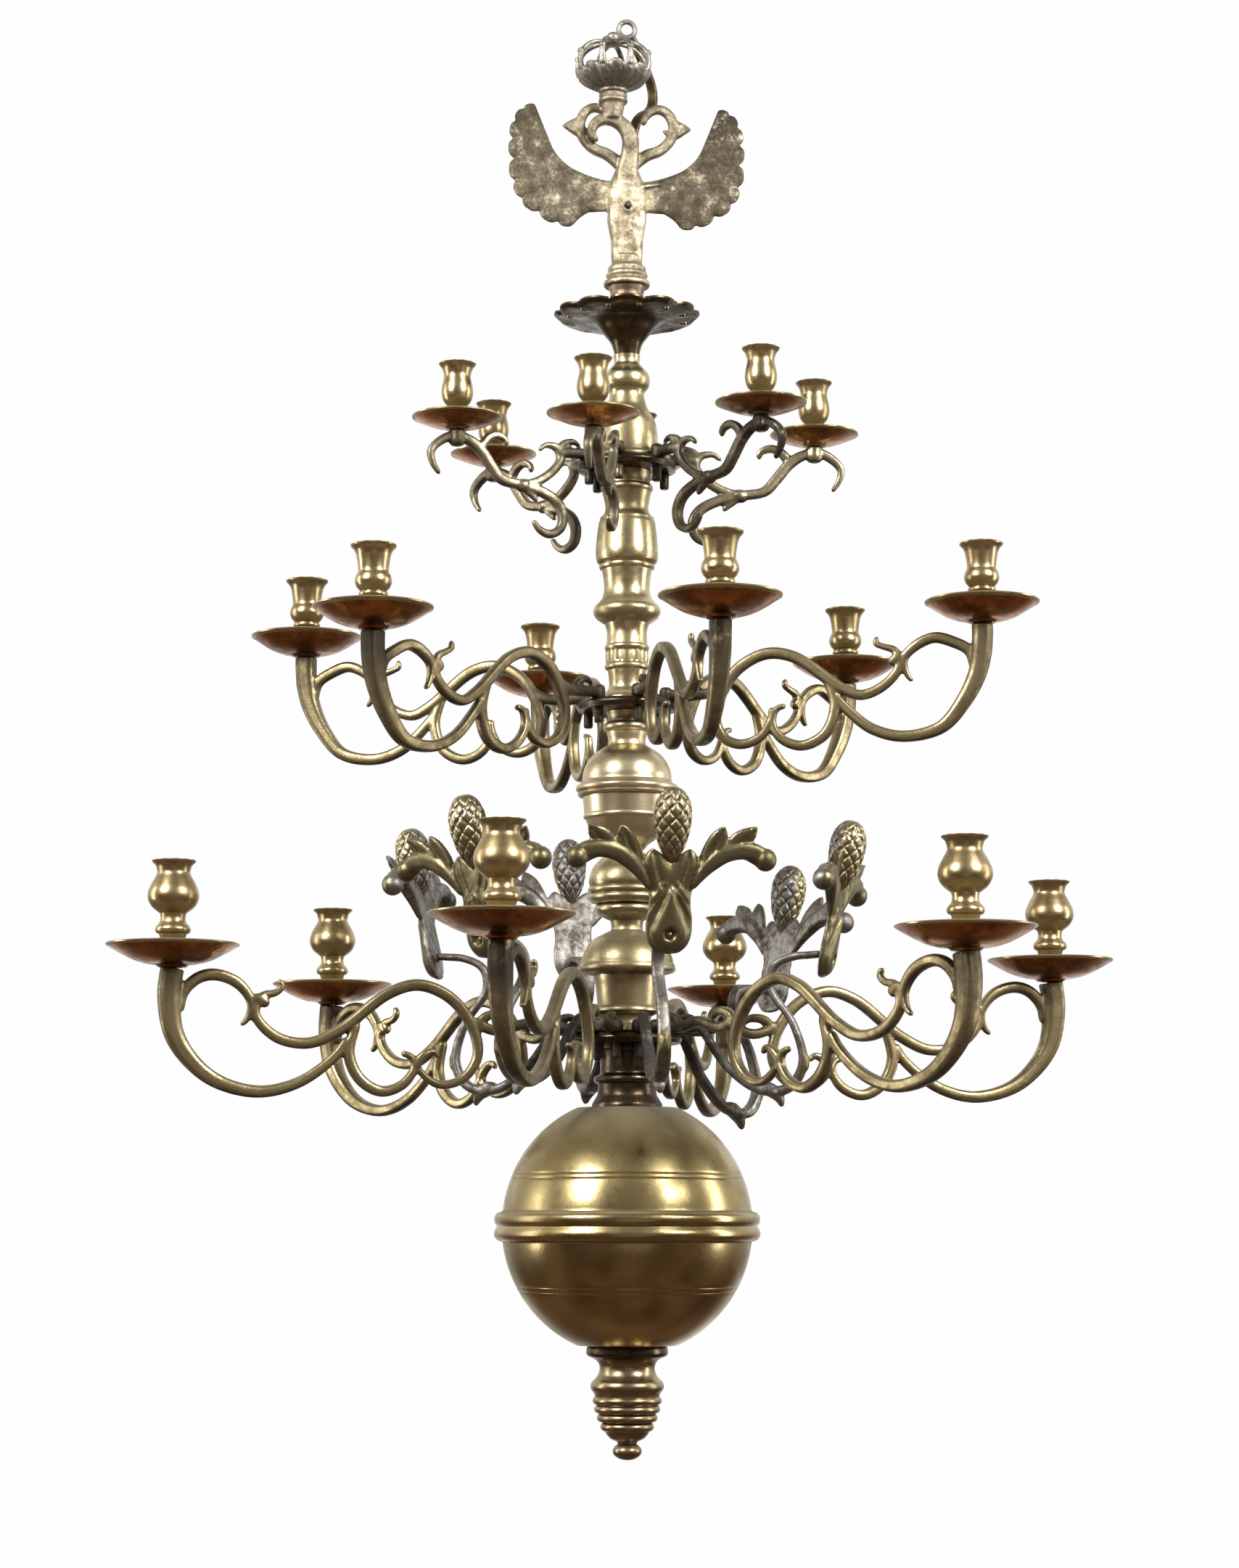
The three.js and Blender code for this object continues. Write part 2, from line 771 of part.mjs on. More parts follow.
const middleArm = scrolledArm(
  middleReach - pegCircle, postTopOf(middleTier, middleCup), middlePostSizes, middleStrandHalf, middleStrands,
);
const topArm = volutedArm(topReach - pegCircle, postTopOf(topTier, topCup));
const lowerCandleCup = candleCup(lowerCup, lowerCandleRadius, lowerSocketFloor);
const middleCandleCup = candleCup(middleCup, middleCandleRadius, middleSocketFloor);
const topCandleCup = candleCup(topCup, topCandleRadius, topSocketFloor);
addTier("lower", lowerTier, lowerArm, lowerCandleCup, armBrass);
addTier("middle", middleTier, middleArm, middleCandleCup, armBrass);
addTier("top", topTier, topArm, topCandleCup, paleBrass);

// Leaf ornament: a flat spray of leaves with rolled tips, a pinecone above and a scrolled bracket.
// The outline is one half, from the foot of the drop-shaped boss round to the pinecone.
const leafHalf = [
  [0, 0],
  [13, 4],
  [19, 18],
  [17, 44],
  [24, 58],
  [36, 68],
  [52, 74],
  [77, 64],
  [85, 73],
  [76, 84],
  [68, 99],
  [55, 91],
  [42, 97],
  [38, 83],
  [16, 86],
];

function ornament() {
  const half = sized(leafHalf, leafHalfWidth, leafHeight);
  const shape = new THREE.Shape();
  shape.moveTo(half[0][0], half[0][1]);
  half.slice(1).forEach(([x, z]) => shape.lineTo(x, z));
  half.slice(1).reverse().forEach(([x, z]) => shape.lineTo(-x, z));
  const cone = turned(sized([[0, 68], [15, 92], [12, 112], [0, 127]], coneRadius, coneTop), 0, 6);
  const boss = turned(sized([[0, 2], [15, 16], [0, 52]], bossRadius, bossTop), 0, 6).scale(1, 0.5, 1);
  const leafX = ornamentRadius - pegCircle;
  const leaf = joined([slab(shape, leafThickness), cone, boss].map(solidOf))
    .rotate([0, 0, 90])
    .rotate([0, ornamentLean, 0])
    .translate([leafX, 0, ornamentFoot]);
  const drawnLeaf = [132, 55];
  const placed = (points) => stretched(points, drawnLeaf, leafX, ornamentFoot);
  const scroll = [
    [28, 8],
    [54, -26],
    [80, -41],
    [104, -37],
    [116, -16],
    [108, 16],
    [89, 44],
    [92, 62],
    [109, 72],
    [134, 75],
  ];
  const dropLeaf = [[84, -36], [96, -46], [98, -62]];
  const solids = [
    bar(strand(placed(scroll), 9), tapered([4, 5], [3, 5])),
    bar(placed(dropLeaf), tapered([5, 5], [1, 1.5])),
    ...tailAndPeg([30, 7], [4, 5]),
  ];
  return joined([leaf, ...solids.map(solidOf)]);
}

const ornamentSolid = ornament();
for (let k = 0; k < armsPerTier; k++) {
  const spoke = new THREE.Group();
  spoke.rotation.z = turn(ornamentTurn + (360 * k) / armsPerTier - 90);
  spoke.position.z = lowerTier.plateTop;
  const pivot = new THREE.Group();
  pivot.position.x = pegCircle;
  pivot.rotation.z = turn(ornamentSwings[k]);
  const geometry = bent(ornamentSolid, ornamentRadius - pegCircle, ornamentSags[k], 0);
  pivot.add(namedMesh(`leaf_ornament_${k + 1}`, geometry, armBrass));
  spoke.add(pivot);
  chandelier.add(spoke);
}

// Eagle: local X along the wings, -Y to the front, heights above its seat
function wingShape() {
  const lobes = [
    [88, 159],
    [97, 146],
    [99, 130],
    [98, 112],
    [97, 92],
    [91, 77],
    [76, 66],
    [60, 57],
    [46, 55],
  ];
  const shape = new THREE.Shape();
  shape.moveTo(4, 93);
  shape.lineTo(20, 95);
  shape.quadraticCurveTo(56, 106, 66, 122);
  shape.quadraticCurveTo(70, 136, 80, 161);
  shape.lineTo(lobes[0][0], lobes[0][1]);
  for (let i = 1; i < lobes.length; i++) {
    const [x0, z0] = lobes[i - 1];
    const [x1, z1] = lobes[i];
    const outwards = new THREE.Vector2(z0 - z1, x1 - x0).normalize().multiplyScalar(featherBulge);
    shape.quadraticCurveTo((x0 + x1) / 2 + outwards.x, (z0 + z1) / 2 + outwards.y, x1, z1);
  }
  shape.lineTo(32, 66);
  shape.lineTo(4, 70);
  return shape;
}

function eagle() {
  const foot = [[19.5, 0], [20, 8], [17.5, eagleBaseHeight], [13, eagleBaseHeight + 6]];
  const leg = bar([[3, 12], [6, 40], [8, 62], [6, 78]], tapered([6, 7], [8, 9]), 6);
  const torso = turned([[0, 52], [11, 60], [16, 76], [14, 94], [8, 106], [0, 110]], 0, 8).scale(1, 0.75, 1);
  const neck = [[5, 96], [11, 110], ...arc([31, 142.5], [17, 23.5], -118, 170, 6)];
  const head = bar(neck, tapered([6.5, 5.5], [3, 3]));
  const beak = bar([[44, 146], [53, 146], [60, 149]], tapered([8, 4.5], [1, 1.2]));
  const wing = slab(wingShape(), wingThickness, 2);
  const side = joined([leg, head, beak, wing].map(solidOf));
  const crownNeck = [[0, 84], [8, 104], [10, 128], [2, 150], [-12, 158], [-26, 153], [-31, 140]];
  const carrier = solidOf(bar(strand(crownNeck, 8), tapered([8, 8], [3.5, 4])))
    .translate([0, -crownNeckForward, 0]);
  const collar = solidOf(turned([[0, 154], [9, 155], [12, 163], [12, crownSeat], [0, crownSeat]], 0, 10))
    .translate([crownSideways, -crownNeckForward, 0]);
  const rodBore = solidOf(cylinder(bore, -1, rodHeightInEagle + 2, 12));
  const solids = [solidOf(turned(foot, bore, 16)), solidOf(torso), side, side.mirror([1, 0, 0])];
  return joined([...solids, carrier, collar]).subtract(rodBore).subtract(pinHole);
}

const eagleFrame = new THREE.Group();
eagleFrame.rotation.z = turn(eagleTurn);
eagleFrame.position.z = eagleSeat;
chandelier.add(eagleFrame);
eagleFrame.add(namedMesh("eagle", geometryOf(eagle()), greyPatina));

// Hanger: an iron strap pinned flat behind the eagle, which swells out to the right
// behind the crown and brings the eye over the axis
function hanger() {
  const path = [
    [strapDistance, 50],
    [strapDistance, 84],
    [strapDistance, 146],
    [28, 163],
    [42, 170],
    [50, 180],
    [50, 190],
    [42, 202],
    [30, 214],
    [6, eyeAboveEagleBase - 3],
  ];
  const strap = bar(path, tapered([strapHalfThickness, strapHalfWidth * 1.4], [3, strapHalfWidth]));
  const position = strap.getAttribute("position");
  for (let i = 0; i < position.count; i++) {
    const share = THREE.MathUtils.smoothstep(position.getZ(i), strapTwistFrom, strapTwistTo);
    const point = new THREE.Vector2(position.getX(i), position.getY(i));
    point.rotateAround(new THREE.Vector2(), turn(90 - strapTwist * share));
    position.setXY(i, point.x, point.y);
  }
  const ring = new THREE.CylinderGeometry(eyeRadius, eyeRadius, eyeThickness, 16);
  const hole = new THREE.CylinderGeometry(eyeHoleRadius, eyeHoleRadius, eyeThickness + 2, 12);
  return solidOf(strap)
    .add(solidOf(ring).translate([0, 0, eyeAboveEagleBase]))
    .subtract(solidOf(hole).translate([0, 0, eyeAboveEagleBase]))
    .subtract(pinHole);
}

eagleFrame.add(namedMesh("hanger", geometryOf(hanger()), iron));

// Cross pin that ties eagle, rod and hanger together
const crossPin = new THREE.CylinderGeometry(crossPinRadius, crossPinRadius, crossPinLength, 8);
const pin = namedMesh("eagle_cross_pin", crossPin, iron);
pin.position.set(0, strapDistance + strapHalfThickness + 1 - crossPinLength / 2, crossPinHeight);
eagleFrame.add(pin);

// Crown: a flared band with eight arches that meet under a small orb
function crown() {
  const band = turned(
    [[0, 0], [12, 0], [22, 8], [31, 18], [crownBandRadius, 24], [crownBandRadius - 3, 24.5],
      [20, 10], [0, 3]],
    0, 14,
  );
  const arches = [];
  for (let k = 0; k < crownArches; k++) {
    const path = arc([0, 22], [crownBandRadius - 1.5, 23], 2, 88, 3);
    const arch = bar(path, tapered([1.8, 2.8], [1.6, 1.6]), 3);
    arches.push(solidOf(arch).rotate([0, 0, (360 * k) / crownArches]));
  }
  const orb = turned([[0, 42], [5, 46], [5, 51], [0, 56]], 0, 8);
  return joined([solidOf(band), ...arches, solidOf(orb)]);
}

const crownMesh = namedMesh("crown", geometryOf(crown()), greyPatina);
crownMesh.position.set(crownSideways, -crownNeckForward, crownSeat + seatGap);
eagleFrame.add(crownMesh);

chandelier.children.forEach((child) => {
  child.position.z -= eyeHeight;
});

export default chandelier;
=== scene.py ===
import math

import bpy
import numpy as np
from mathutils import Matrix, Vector, noise
from mathutils.geometry import delaunay_2d_cdt


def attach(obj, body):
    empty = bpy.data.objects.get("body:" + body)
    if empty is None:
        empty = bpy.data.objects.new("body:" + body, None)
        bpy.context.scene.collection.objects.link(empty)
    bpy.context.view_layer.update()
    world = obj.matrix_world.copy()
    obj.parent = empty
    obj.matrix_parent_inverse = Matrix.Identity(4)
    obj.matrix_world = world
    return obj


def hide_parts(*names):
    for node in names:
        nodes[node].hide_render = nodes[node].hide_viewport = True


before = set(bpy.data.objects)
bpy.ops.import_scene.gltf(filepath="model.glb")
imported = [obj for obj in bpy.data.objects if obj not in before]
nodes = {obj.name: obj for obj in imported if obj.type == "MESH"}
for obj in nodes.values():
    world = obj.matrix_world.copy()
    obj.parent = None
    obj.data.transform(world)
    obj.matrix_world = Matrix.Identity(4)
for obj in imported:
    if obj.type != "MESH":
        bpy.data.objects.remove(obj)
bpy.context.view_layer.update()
collection = bpy.context.scene.collection

# Camera
# It stands 2.8 m in front of the chandelier, level with the large ball, and looks up a little.
# The lens gives the photograph's frame of 1708 by 2161.
camera_data = bpy.data.cameras.new("photo_camera")
camera_data.sensor_fit = "VERTICAL"
camera_data.sensor_height = 36
camera_data.lens = 76.5
camera = bpy.data.objects.new("photo_camera", camera_data)
camera.location = (0, -2.8, -1.0269)
camera.rotation_euler = (math.radians(97.39), 0, math.radians(0.13))
collection.objects.link(camera)
bpy.context.scene.camera = camera

# Studio
# A pale floor lies below the hanging chandelier and is left out of mirror reflections. The room is plain
# white to the camera. What the metal mirrors is white behind, and brown and patchy in front and below.
# Two softboxes in front give the pair of highlights on each turned piece, and strips light the sides.
FLOOR_HEIGHT = -1.9
FLOOR_RADIUS = 4
FLOOR_CORNERS = 64


def new_node(tree, kind, inputs=None, **settings):
    """A shader node with its settings. Each input is given a value or the socket that feeds it."""
    made = tree.nodes.new("ShaderNode" + kind)
    for name, value in settings.items():
        setattr(made, name, value)
    for name, value in (inputs or {}).items():
        if isinstance(value, bpy.types.NodeSocket):
            tree.links.new(value, made.inputs[name])
        else:
            made.inputs[name].default_value = value
    return made


def new_ramp(tree, share, easing, *stops):
    """The colour that a ramp gives between two stops, each a position and a colour."""
    made = new_node(tree, "ValToRGB", {"Fac": share})
    made.color_ramp.interpolation = easing
    for element, (position, colour) in zip(made.color_ramp.elements, stops):
        element.position = position
        element.color = (*colour, 1)
    return made.outputs["Color"]


floor_angles = [2 * math.pi * k / FLOOR_CORNERS for k in range(FLOOR_CORNERS)]
floor_points = [
    (FLOOR_RADIUS * math.cos(way), FLOOR_RADIUS * math.sin(way), FLOOR_HEIGHT) for way in floor_angles
]
floor_mesh = bpy.data.meshes.new("floor")
floor_mesh.from_pydata(floor_points, [], [list(range(FLOOR_CORNERS))])
floor = bpy.data.objects.new("floor", floor_mesh)
collection.objects.link(floor)
floor.visible_glossy = False
floor_finish = bpy.data.materials.new("floor_plaster")
floor_finish.use_nodes = True
plaster = floor_finish.node_tree
floor_clouds = new_node(plaster, "TexNoise", {"Scale": 3}).outputs["Fac"]
floor_colour = new_ramp(plaster, floor_clouds, "LINEAR", (0, (0.66, 0.65, 0.64)), (1, (0.74, 0.73, 0.72)))
plaster.links.new(floor_colour, plaster.nodes["Principled BSDF"].inputs["Base Color"])
plaster.nodes["Principled BSDF"].inputs["Roughness"].default_value = 0.9
floor_mesh.materials.append(floor_finish)

world = bpy.data.worlds.new("pale_room")
bpy.context.scene.world = world
world.use_nodes = True
room = world.node_tree
room.nodes.clear()
way_out = new_node(room, "TexCoord").outputs["Generated"]
parts_out = new_node(room, "SeparateXYZ", {"Vector": way_out}).outputs
to_back = new_node(room, "MapRange", {"Value": parts_out["Y"], "From Min": -1}).outputs["Result"]
upwards = new_node(room, "MapRange", {"Value": parts_out["Z"], "From Min": -1}).outputs["Result"]
back_wall = new_ramp(room, to_back, "EASE", (0.48, (0, 0, 0)), (0.9, (1, 1, 1)))
above_floor = new_node(room, "MapRange", {"Value": parts_out["Z"], "From Min": -0.3, "From Max": 0.2})
open_wall = new_node(room, "Math", {0: back_wall, 1: above_floor.outputs["Result"]}, operation="MULTIPLY")
straight_back = new_node(
    room, "MapRange", {"Value": parts_out["Y"], "From Min": 0.7}, interpolation_type="SMOOTHSTEP",
)
white_share = new_node(
    room, "Math", {0: open_wall.outputs[0], 1: straight_back.outputs["Result"]}, operation="MAXIMUM",
)
walls = new_ramp(room, upwards, "EASE", (0.45, (0.15, 0.094, 0.066)), (0.69, (0.27, 0.26, 0.24)))
clutter = new_node(room, "TexNoise", {"Vector": way_out, "Scale": 2.2}).outputs["Fac"]
patches = new_node(
    room, "MapRange",
    {"Value": clutter, "From Min": 0.38, "From Max": 0.62, "To Min": 0.45, "To Max": 1.35},
)
patchy_walls = new_node(
    room, "VectorMath", {"Vector": walls, "Scale": patches.outputs["Result"]}, operation="SCALE",
)
mirrored_room = new_node(
    room, "Mix",
    {"Factor": white_share.outputs[0], "A": patchy_walls.outputs["Vector"], "B": (0.95, 0.95, 0.95, 1)},
    data_type="RGBA",
)
seen_by_camera = new_node(room, "LightPath").outputs["Is Camera Ray"]
seen_room = new_node(
    room, "Mix",
    {"Factor": seen_by_camera, "A": mirrored_room.outputs["Result"], "B": (0.99, 0.99, 0.99, 1)},
    data_type="RGBA",
)
room_light = new_node(room, "Background", {"Color": seen_room.outputs["Result"]})
new_node(room, "OutputWorld", {"Surface": room_light.outputs["Background"]})
bpy.context.scene.view_settings.view_transform = "Standard"

light_target = Vector((0, 0, -0.8))
for light_name, direction, distance, size, power in [
    ("softbox_left", (-0.49, -0.51, 0.42), 3, (0.7, 1.2), 84),
    ("softbox_right", (0.54, -0.5, 0.42), 3, (0.7, 1.2), 84),
    ("strip_left", (-1, 0.05, 0.1), 2.6, (0.5, 2.2), 22),
    ("strip_right", (1, 0.05, 0.1), 2.6, (0.5, 2.2), 22),
    ("low_fill", (0.1, -0.9, -0.25), 3.4, (2, 1), 1.5),
]:
    light_data = bpy.data.lights.new(light_name, "AREA")
    light_data.shape = "RECTANGLE"
    light_data.size, light_data.size_y = size
    light_data.energy = power
    light = bpy.data.objects.new(light_name, light_data)
    way = Vector(direction).normalized()
    light.location = light_target + way * distance
    light.rotation_euler = way.to_track_quat("Z", "Y").to_euler()
    collection.objects.link(light)

# Ball
# Two spun brass shells meet at a moulded ring round the equator. Each has a pair of engraved lines.
# The brass is polished, with a brown bloom, and dirt and painted shade in the grooves.
MM = 0.001
EYE_ABOVE_EQUATOR = 1035


def smooth_through(points, spacing):
    """Points along a curve that passes evenly through the given ones."""
    given = np.array(points, float)
    if len(given) < 3:
        count = max(2, int(np.linalg.norm(given[-1] - given[0]) / spacing) + 1)
        return [given[0] + (given[-1] - given[0]) * k / (count - 1) for k in range(count)]
    ends = [2 * given[0] - given[1], *given, 2 * given[-1] - given[-2]]
    curve = []
    for a, b, c, d in zip(ends, ends[1:], ends[2:], ends[3:]):
        knots = [0]
        for p, q in ((a, b), (b, c), (c, d)):
            knots.append(knots[-1] + max(np.linalg.norm(q - p), 1e-6) ** 0.5)
        count = max(1, int(round(np.linalg.norm(c - b) / spacing)))
        for k in range(count):
            t = knots[1] + (knots[2] - knots[1]) * k / count
            near = [
                (p * (knots[i + 1] - t) + q * (t - knots[i])) / (knots[i + 1] - knots[i])
                for i, (p, q) in enumerate(((a, b), (b, c), (c, d)))
            ]
            wide = [
                (near[i] * (knots[i + 2] - t) + near[i + 1] * (t - knots[i])) / (knots[i + 2] - knots[i])
                for i in (0, 1)
            ]
            curve.append((wide[0] * (knots[2] - t) + wide[1] * (t - knots[1])) / (knots[2] - knots[1]))
    curve.append(given[-1])
    return curve


def outline_of(runs, spacing):
    """One outline from smooth runs, each from the end of the one before, with a sharp edge there."""
    whole = smooth_through(runs[0], spacing)
    for before, run in zip(runs, runs[1:]):
        whole += smooth_through([before[-1], *run], spacing)[1:]
    return whole


def turned(runs, segments=96, spacing=1.6, shape=None):
    """Vertices and faces of an outline of radius and height turned about the upright axis."""
    outline = outline_of(runs, spacing)
    if np.linalg.norm(outline[0] - outline[-1]) < 1e-3:
        outline.append(outline[0])
    rings, vertices, faces = [], [], []
    for radius, height in outline:
        if radius < 1e-6:
            rings.append([len(vertices)])
            vertices.append((0, 0, height))
            continue
        ring = []
        for k in range(segments):
            angle = 2 * math.pi * k / segments
            r, z = shape(angle, radius, height) if shape else (radius, height)
            ring.append(len(vertices))
            vertices.append((r * math.cos(angle), r * math.sin(angle), z))
        rings.append(ring)
    if np.linalg.norm(outline[0] - outline[-1]) < 1e-3 and len(rings[0]) > 1:
        del vertices[len(vertices) - segments:]
        rings[-1] = rings[0]
    for low, high in zip(rings, rings[1:]):
        for k in range(segments):
            following = (k + 1) % segments
            if len(low) == 1 and len(high) == 1:
                continue
            if len(low) == 1:
                faces.append((low[0], high[following], high[k]))
            elif len(high) == 1:
                faces.append((low[k], low[following], high[0]))
            else:
                faces.append((low[k], low[following], high[following], high[k]))
    return np.array(vertices, float), faces


def piece(name, vertices, faces, materials, body, replaced, crease=32, pick=None, stain_and_shade=None):
    """A named piece in metres that rides on a body and takes the materials it is given.
    pick gives the number of each face's material, and the last argument how dark each point is made by
    staining and painted shade, up to 1."""
    mesh = bpy.data.meshes.new(name)
    mesh.from_pydata((np.asarray(vertices) * MM).tolist(), [], faces)
    mesh.update()
    for material in materials:
        mesh.materials.append(material)
    if pick:
        mesh.polygons.foreach_set("material_index", pick(mesh))
    if stain_and_shade is not None:
        mesh.attributes.new("stain_and_shade", "FLOAT", "POINT").data.foreach_set(
            "value", np.asarray(stain_and_shade, np.float32),
        )
    mesh.shade_smooth()
    mesh.set_sharp_from_angle(angle=math.radians(crease))
    made = bpy.data.objects.new(name, mesh)
    collection.objects.link(made)
    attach(made, body)
    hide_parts(*replaced)
    return made


def add_socket(group, direction, kind, name, value=None):
    """A named input or output on a shader node group."""
    made = group.interface.new_socket(name=name, in_out=direction, socket_type=kind)
    if value is not None:
        made.default_value = value


def aged_metal_group():
    """Tarnish in clouds, grime and painted shade in hollows, painted shade on undersides, the staining and
    painted shade that points carry, dust on top and bright worn edges, from the surface's own place and
    form.
    """
    group = bpy.data.node_groups.new("aged_metal", "ShaderNodeTree")
    colour, number = "NodeSocketColor", "NodeSocketFloat"
    for name in ("Bright", "Tarnish", "Dirt"):
        add_socket(group, "INPUT", colour, name)
    for name in ("Cloud Scale", "Tarnish Amount", "Dirt Amount"):
        add_socket(group, "INPUT", number, name)
    add_socket(group, "INPUT", number, "Hollow Size", 0.006)
    for name in ("Smooth", "Dull", "Underside", "Dust", "Stain And Shade"):
        add_socket(group, "INPUT", number, name)
    add_socket(group, "OUTPUT", colour, "Color")
    for name in ("Roughness", "Metallic", "Height"):
        add_socket(group, "OUTPUT", number, name)
    given = group.nodes.new("NodeGroupInput").outputs
    result = group.nodes.new("NodeGroupOutput").inputs
    place = new_node(group, "TexCoord").outputs["Object"]

    def clouding(scale_factor, detail):
        scale = new_node(group, "Math", {0: given["Cloud Scale"], 1: scale_factor}, operation="MULTIPLY")
        shape = {"Vector": place, "Scale": scale.outputs[0], "Detail": detail, "Roughness": 0.62}
        return new_node(group, "TexNoise", shape).outputs["Fac"]

    def combined(operation, a, b):
        clamp = operation != "SUBTRACT"
        return new_node(group, "Math", {0: a, 1: b}, operation=operation, use_clamp=clamp).outputs[0]

    def product(a, b):
        return combined("MULTIPLY", a, b)

    def spread(value, low, high):
        ends = {"Value": value, "From Min": low, "From Max": high}
        return new_node(group, "MapRange", ends, interpolation_type="SMOOTHSTEP").outputs["Result"]

    def mixed(factor, a, b, kind="MIX"):
        sides = {"Factor": factor, "A": a, "B": b}
        return new_node(group, "Mix", sides, data_type="RGBA", blend_type=kind).outputs["Result"]

    clouds, patches, grain = clouding(1, 5), clouding(5, 6), clouding(34, 3)
    cloud_mask = combined("ADD", product(clouds, 0.62), product(patches, 0.38))
    tarnish = product(spread(cloud_mask, 0.4, 0.62), given["Tarnish Amount"])
    broken = spread(cloud_mask, 0.26, 0.48)

    # Painted shade: ambient occlusion darkens hollows and the places under overhangs, and grime caught in
    # grooves joins it, both in the Dirt colour.
    hollow = new_node(group, "AmbientOcclusion", {"Distance": given["Hollow Size"]}, samples=4)
    shade = combined("SUBTRACT", 1, hollow.outputs["AO"])
    point = new_node(group, "NewGeometry").outputs["Pointiness"]
    groove = spread(combined("SUBTRACT", 1, point), 0.505, 0.56)
    hollow_dirt_and_shade = combined("MAXIMUM", spread(shade, 0.3, 0.9), groove)
    dirt_and_shade = product(product(hollow_dirt_and_shade, spread(patches, 0.25, 0.55)), given["Dirt Amount"])
    normal = new_node(group, "NewGeometry").outputs["Normal"]
    upright = new_node(group, "SeparateXYZ", {"Vector": normal}).outputs["Z"]
    # Painted shade: faces that point down darken by the Underside amount, and the per-point input adds the
    # staining and painted shade that points carry.
    facing_down = spread(combined("SUBTRACT", 0, upright), 0.1, 0.85)
    dark = combined("MAXIMUM", product(facing_down, given["Underside"]), given["Stain And Shade"])
    dirt_and_shade = combined("MAXIMUM", dirt_and_shade, product(dark, broken))
    dust = product(product(spread(upright, 0.55, 0.97), broken), given["Dust"])
    edge = product(spread(point, 0.515, 0.58), 0.6)

    aged = mixed(tarnish, given["Bright"], given["Tarnish"])
    speckle = mixed(grain, (0.25, 0.25, 0.25, 1), (0.75, 0.75, 0.75, 1))
    varied = mixed(0.35, aged, speckle, kind="SOFT_LIGHT")
    worn = mixed(edge, varied, given["Bright"])
    dirty_and_shaded = mixed(dirt_and_shade, worn, given["Dirt"])
    dusty = mixed(dust, dirty_and_shaded, (0.19, 0.16, 0.115, 1))
    roughened = combined("ADD", tarnish, product(combined("SUBTRACT", patches, 0.4), 0.5))
    ends = {"Value": roughened, "To Min": given["Smooth"], "To Max": given["Dull"]}
    rough = new_node(group, "MapRange", ends).outputs["Result"]
    dulled = combined("MAXIMUM", product(dirt_and_shade, 0.12), product(dust, 0.4))
    covered = combined("MAXIMUM", product(dirt_and_shade, 0.3), dust)
    group.links.new(dusty, result["Color"])
    group.links.new(combined("ADD", rough, dulled), result["Roughness"])
    group.links.new(combined("SUBTRACT", 1, covered), result["Metallic"])
    group.links.new(combined("ADD", product(patches, 0.5), product(grain, 0.5)), result["Height"])
    return group


aged_metal = aged_metal_group()
BUMP_DEPTH = 0.0008


# The dark colour serves for grime and for painted shade in hollows, under overhangs and on undersides.
def metal(name, bright, tarnish, dirt_and_shade, bump, stained_and_shaded=False, **values):
    """A metal finish with its own colours and amounts in the shared ageing effect.
    One that reads the point attribute also darkens by the staining and painted shade that each point of its
    piece carries."""
    made = bpy.data.materials.new(name)
    made.use_nodes = True
    tree = made.node_tree
    ageing = tree.nodes.new("ShaderNodeGroup")
    ageing.node_tree = aged_metal
    for socket, colour in (("Bright", bright), ("Tarnish", tarnish), ("Dirt", dirt_and_shade)):
        ageing.inputs[socket].default_value = (*colour, 1)
    for socket, value in values.items():
        ageing.inputs[socket.replace("_", " ").title()].default_value = value
    if stained_and_shaded:
        carried = new_node(tree, "Attribute", attribute_name="stain_and_shade")
        tree.links.new(carried.outputs["Fac"], ageing.inputs["Stain And Shade"])
    relief = new_node(
        tree, "Bump", {"Strength": bump, "Distance": BUMP_DEPTH, "Height": ageing.outputs["Height"]},
    )
    surface = tree.nodes["Principled BSDF"]
    for output, target in (("Color", "Base Color"), ("Roughness", "Roughness"), ("Metallic", "Metallic")):
        tree.links.new(ageing.outputs[output], surface.inputs[target])
    tree.links.new(relief.outputs["Normal"], surface.inputs["Normal"])
    return made


polished_brass = metal(
    "polished_brass", (0.47, 0.37, 0.175), (0.22, 0.16, 0.07), (0.05, 0.034, 0.018), 0.14,
    cloud_scale=9, tarnish_amount=0.6, dirt_amount=0.85, smooth=0.22, dull=0.42, dust=0.75,
)
BALL_RADIUS = 104.5
BALL_HALF_HEIGHT = 107
BALL_FLAT = 98
BALL_WALL = 2.5
RING_TOP = 13.5
LINE_HALF_WIDTH = 0.7
LINE_DEPTH = 0.32
ROD_BORE = 4.4


def ball_reach(height, wall=0):
    """Radius of the shell at a height above the equator."""
    return (BALL_RADIUS - wall) * math.sqrt(1 - (height / (BALL_HALF_HEIGHT - wall)) ** 2)


def ball_half(engraved, ring):
    """Closed outline of one shell, from the ring up the outside and back down the inside."""
    outside = [(ball_reach(z), z) for z in np.linspace(RING_TOP, engraved - 4.4, 14)]
    lines = []
    for line in (engraved - 2, engraved + 2):
        low, high = line - LINE_HALF_WIDTH, line + LINE_HALF_WIDTH
        lines += [
            [(ball_reach(low), low)], [(ball_reach(line) - LINE_DEPTH, line), (ball_reach(high), high)],
        ]
    above = [(ball_reach(z), z) for z in np.linspace(engraved + 4.4, BALL_FLAT, 24)]
    inside = [(ball_reach(z, BALL_WALL), z) for z in np.linspace(BALL_FLAT - BALL_WALL, ring[0][1], 20)]
    return [
        ring + outside[:1], outside[1:] + lines[0], lines[1], lines[2], lines[3], above,
        [(ROD_BORE, BALL_FLAT)], [(ROD_BORE, BALL_FLAT - BALL_WALL)], inside[:1], inside[1:], ring[:1],
    ]


def on_stem(vertices):
    """Points with heights above the ball's equator, moved to the frame, all in millimetres."""
    return vertices - np.array([0, 0, EYE_ABOVE_EQUATOR])


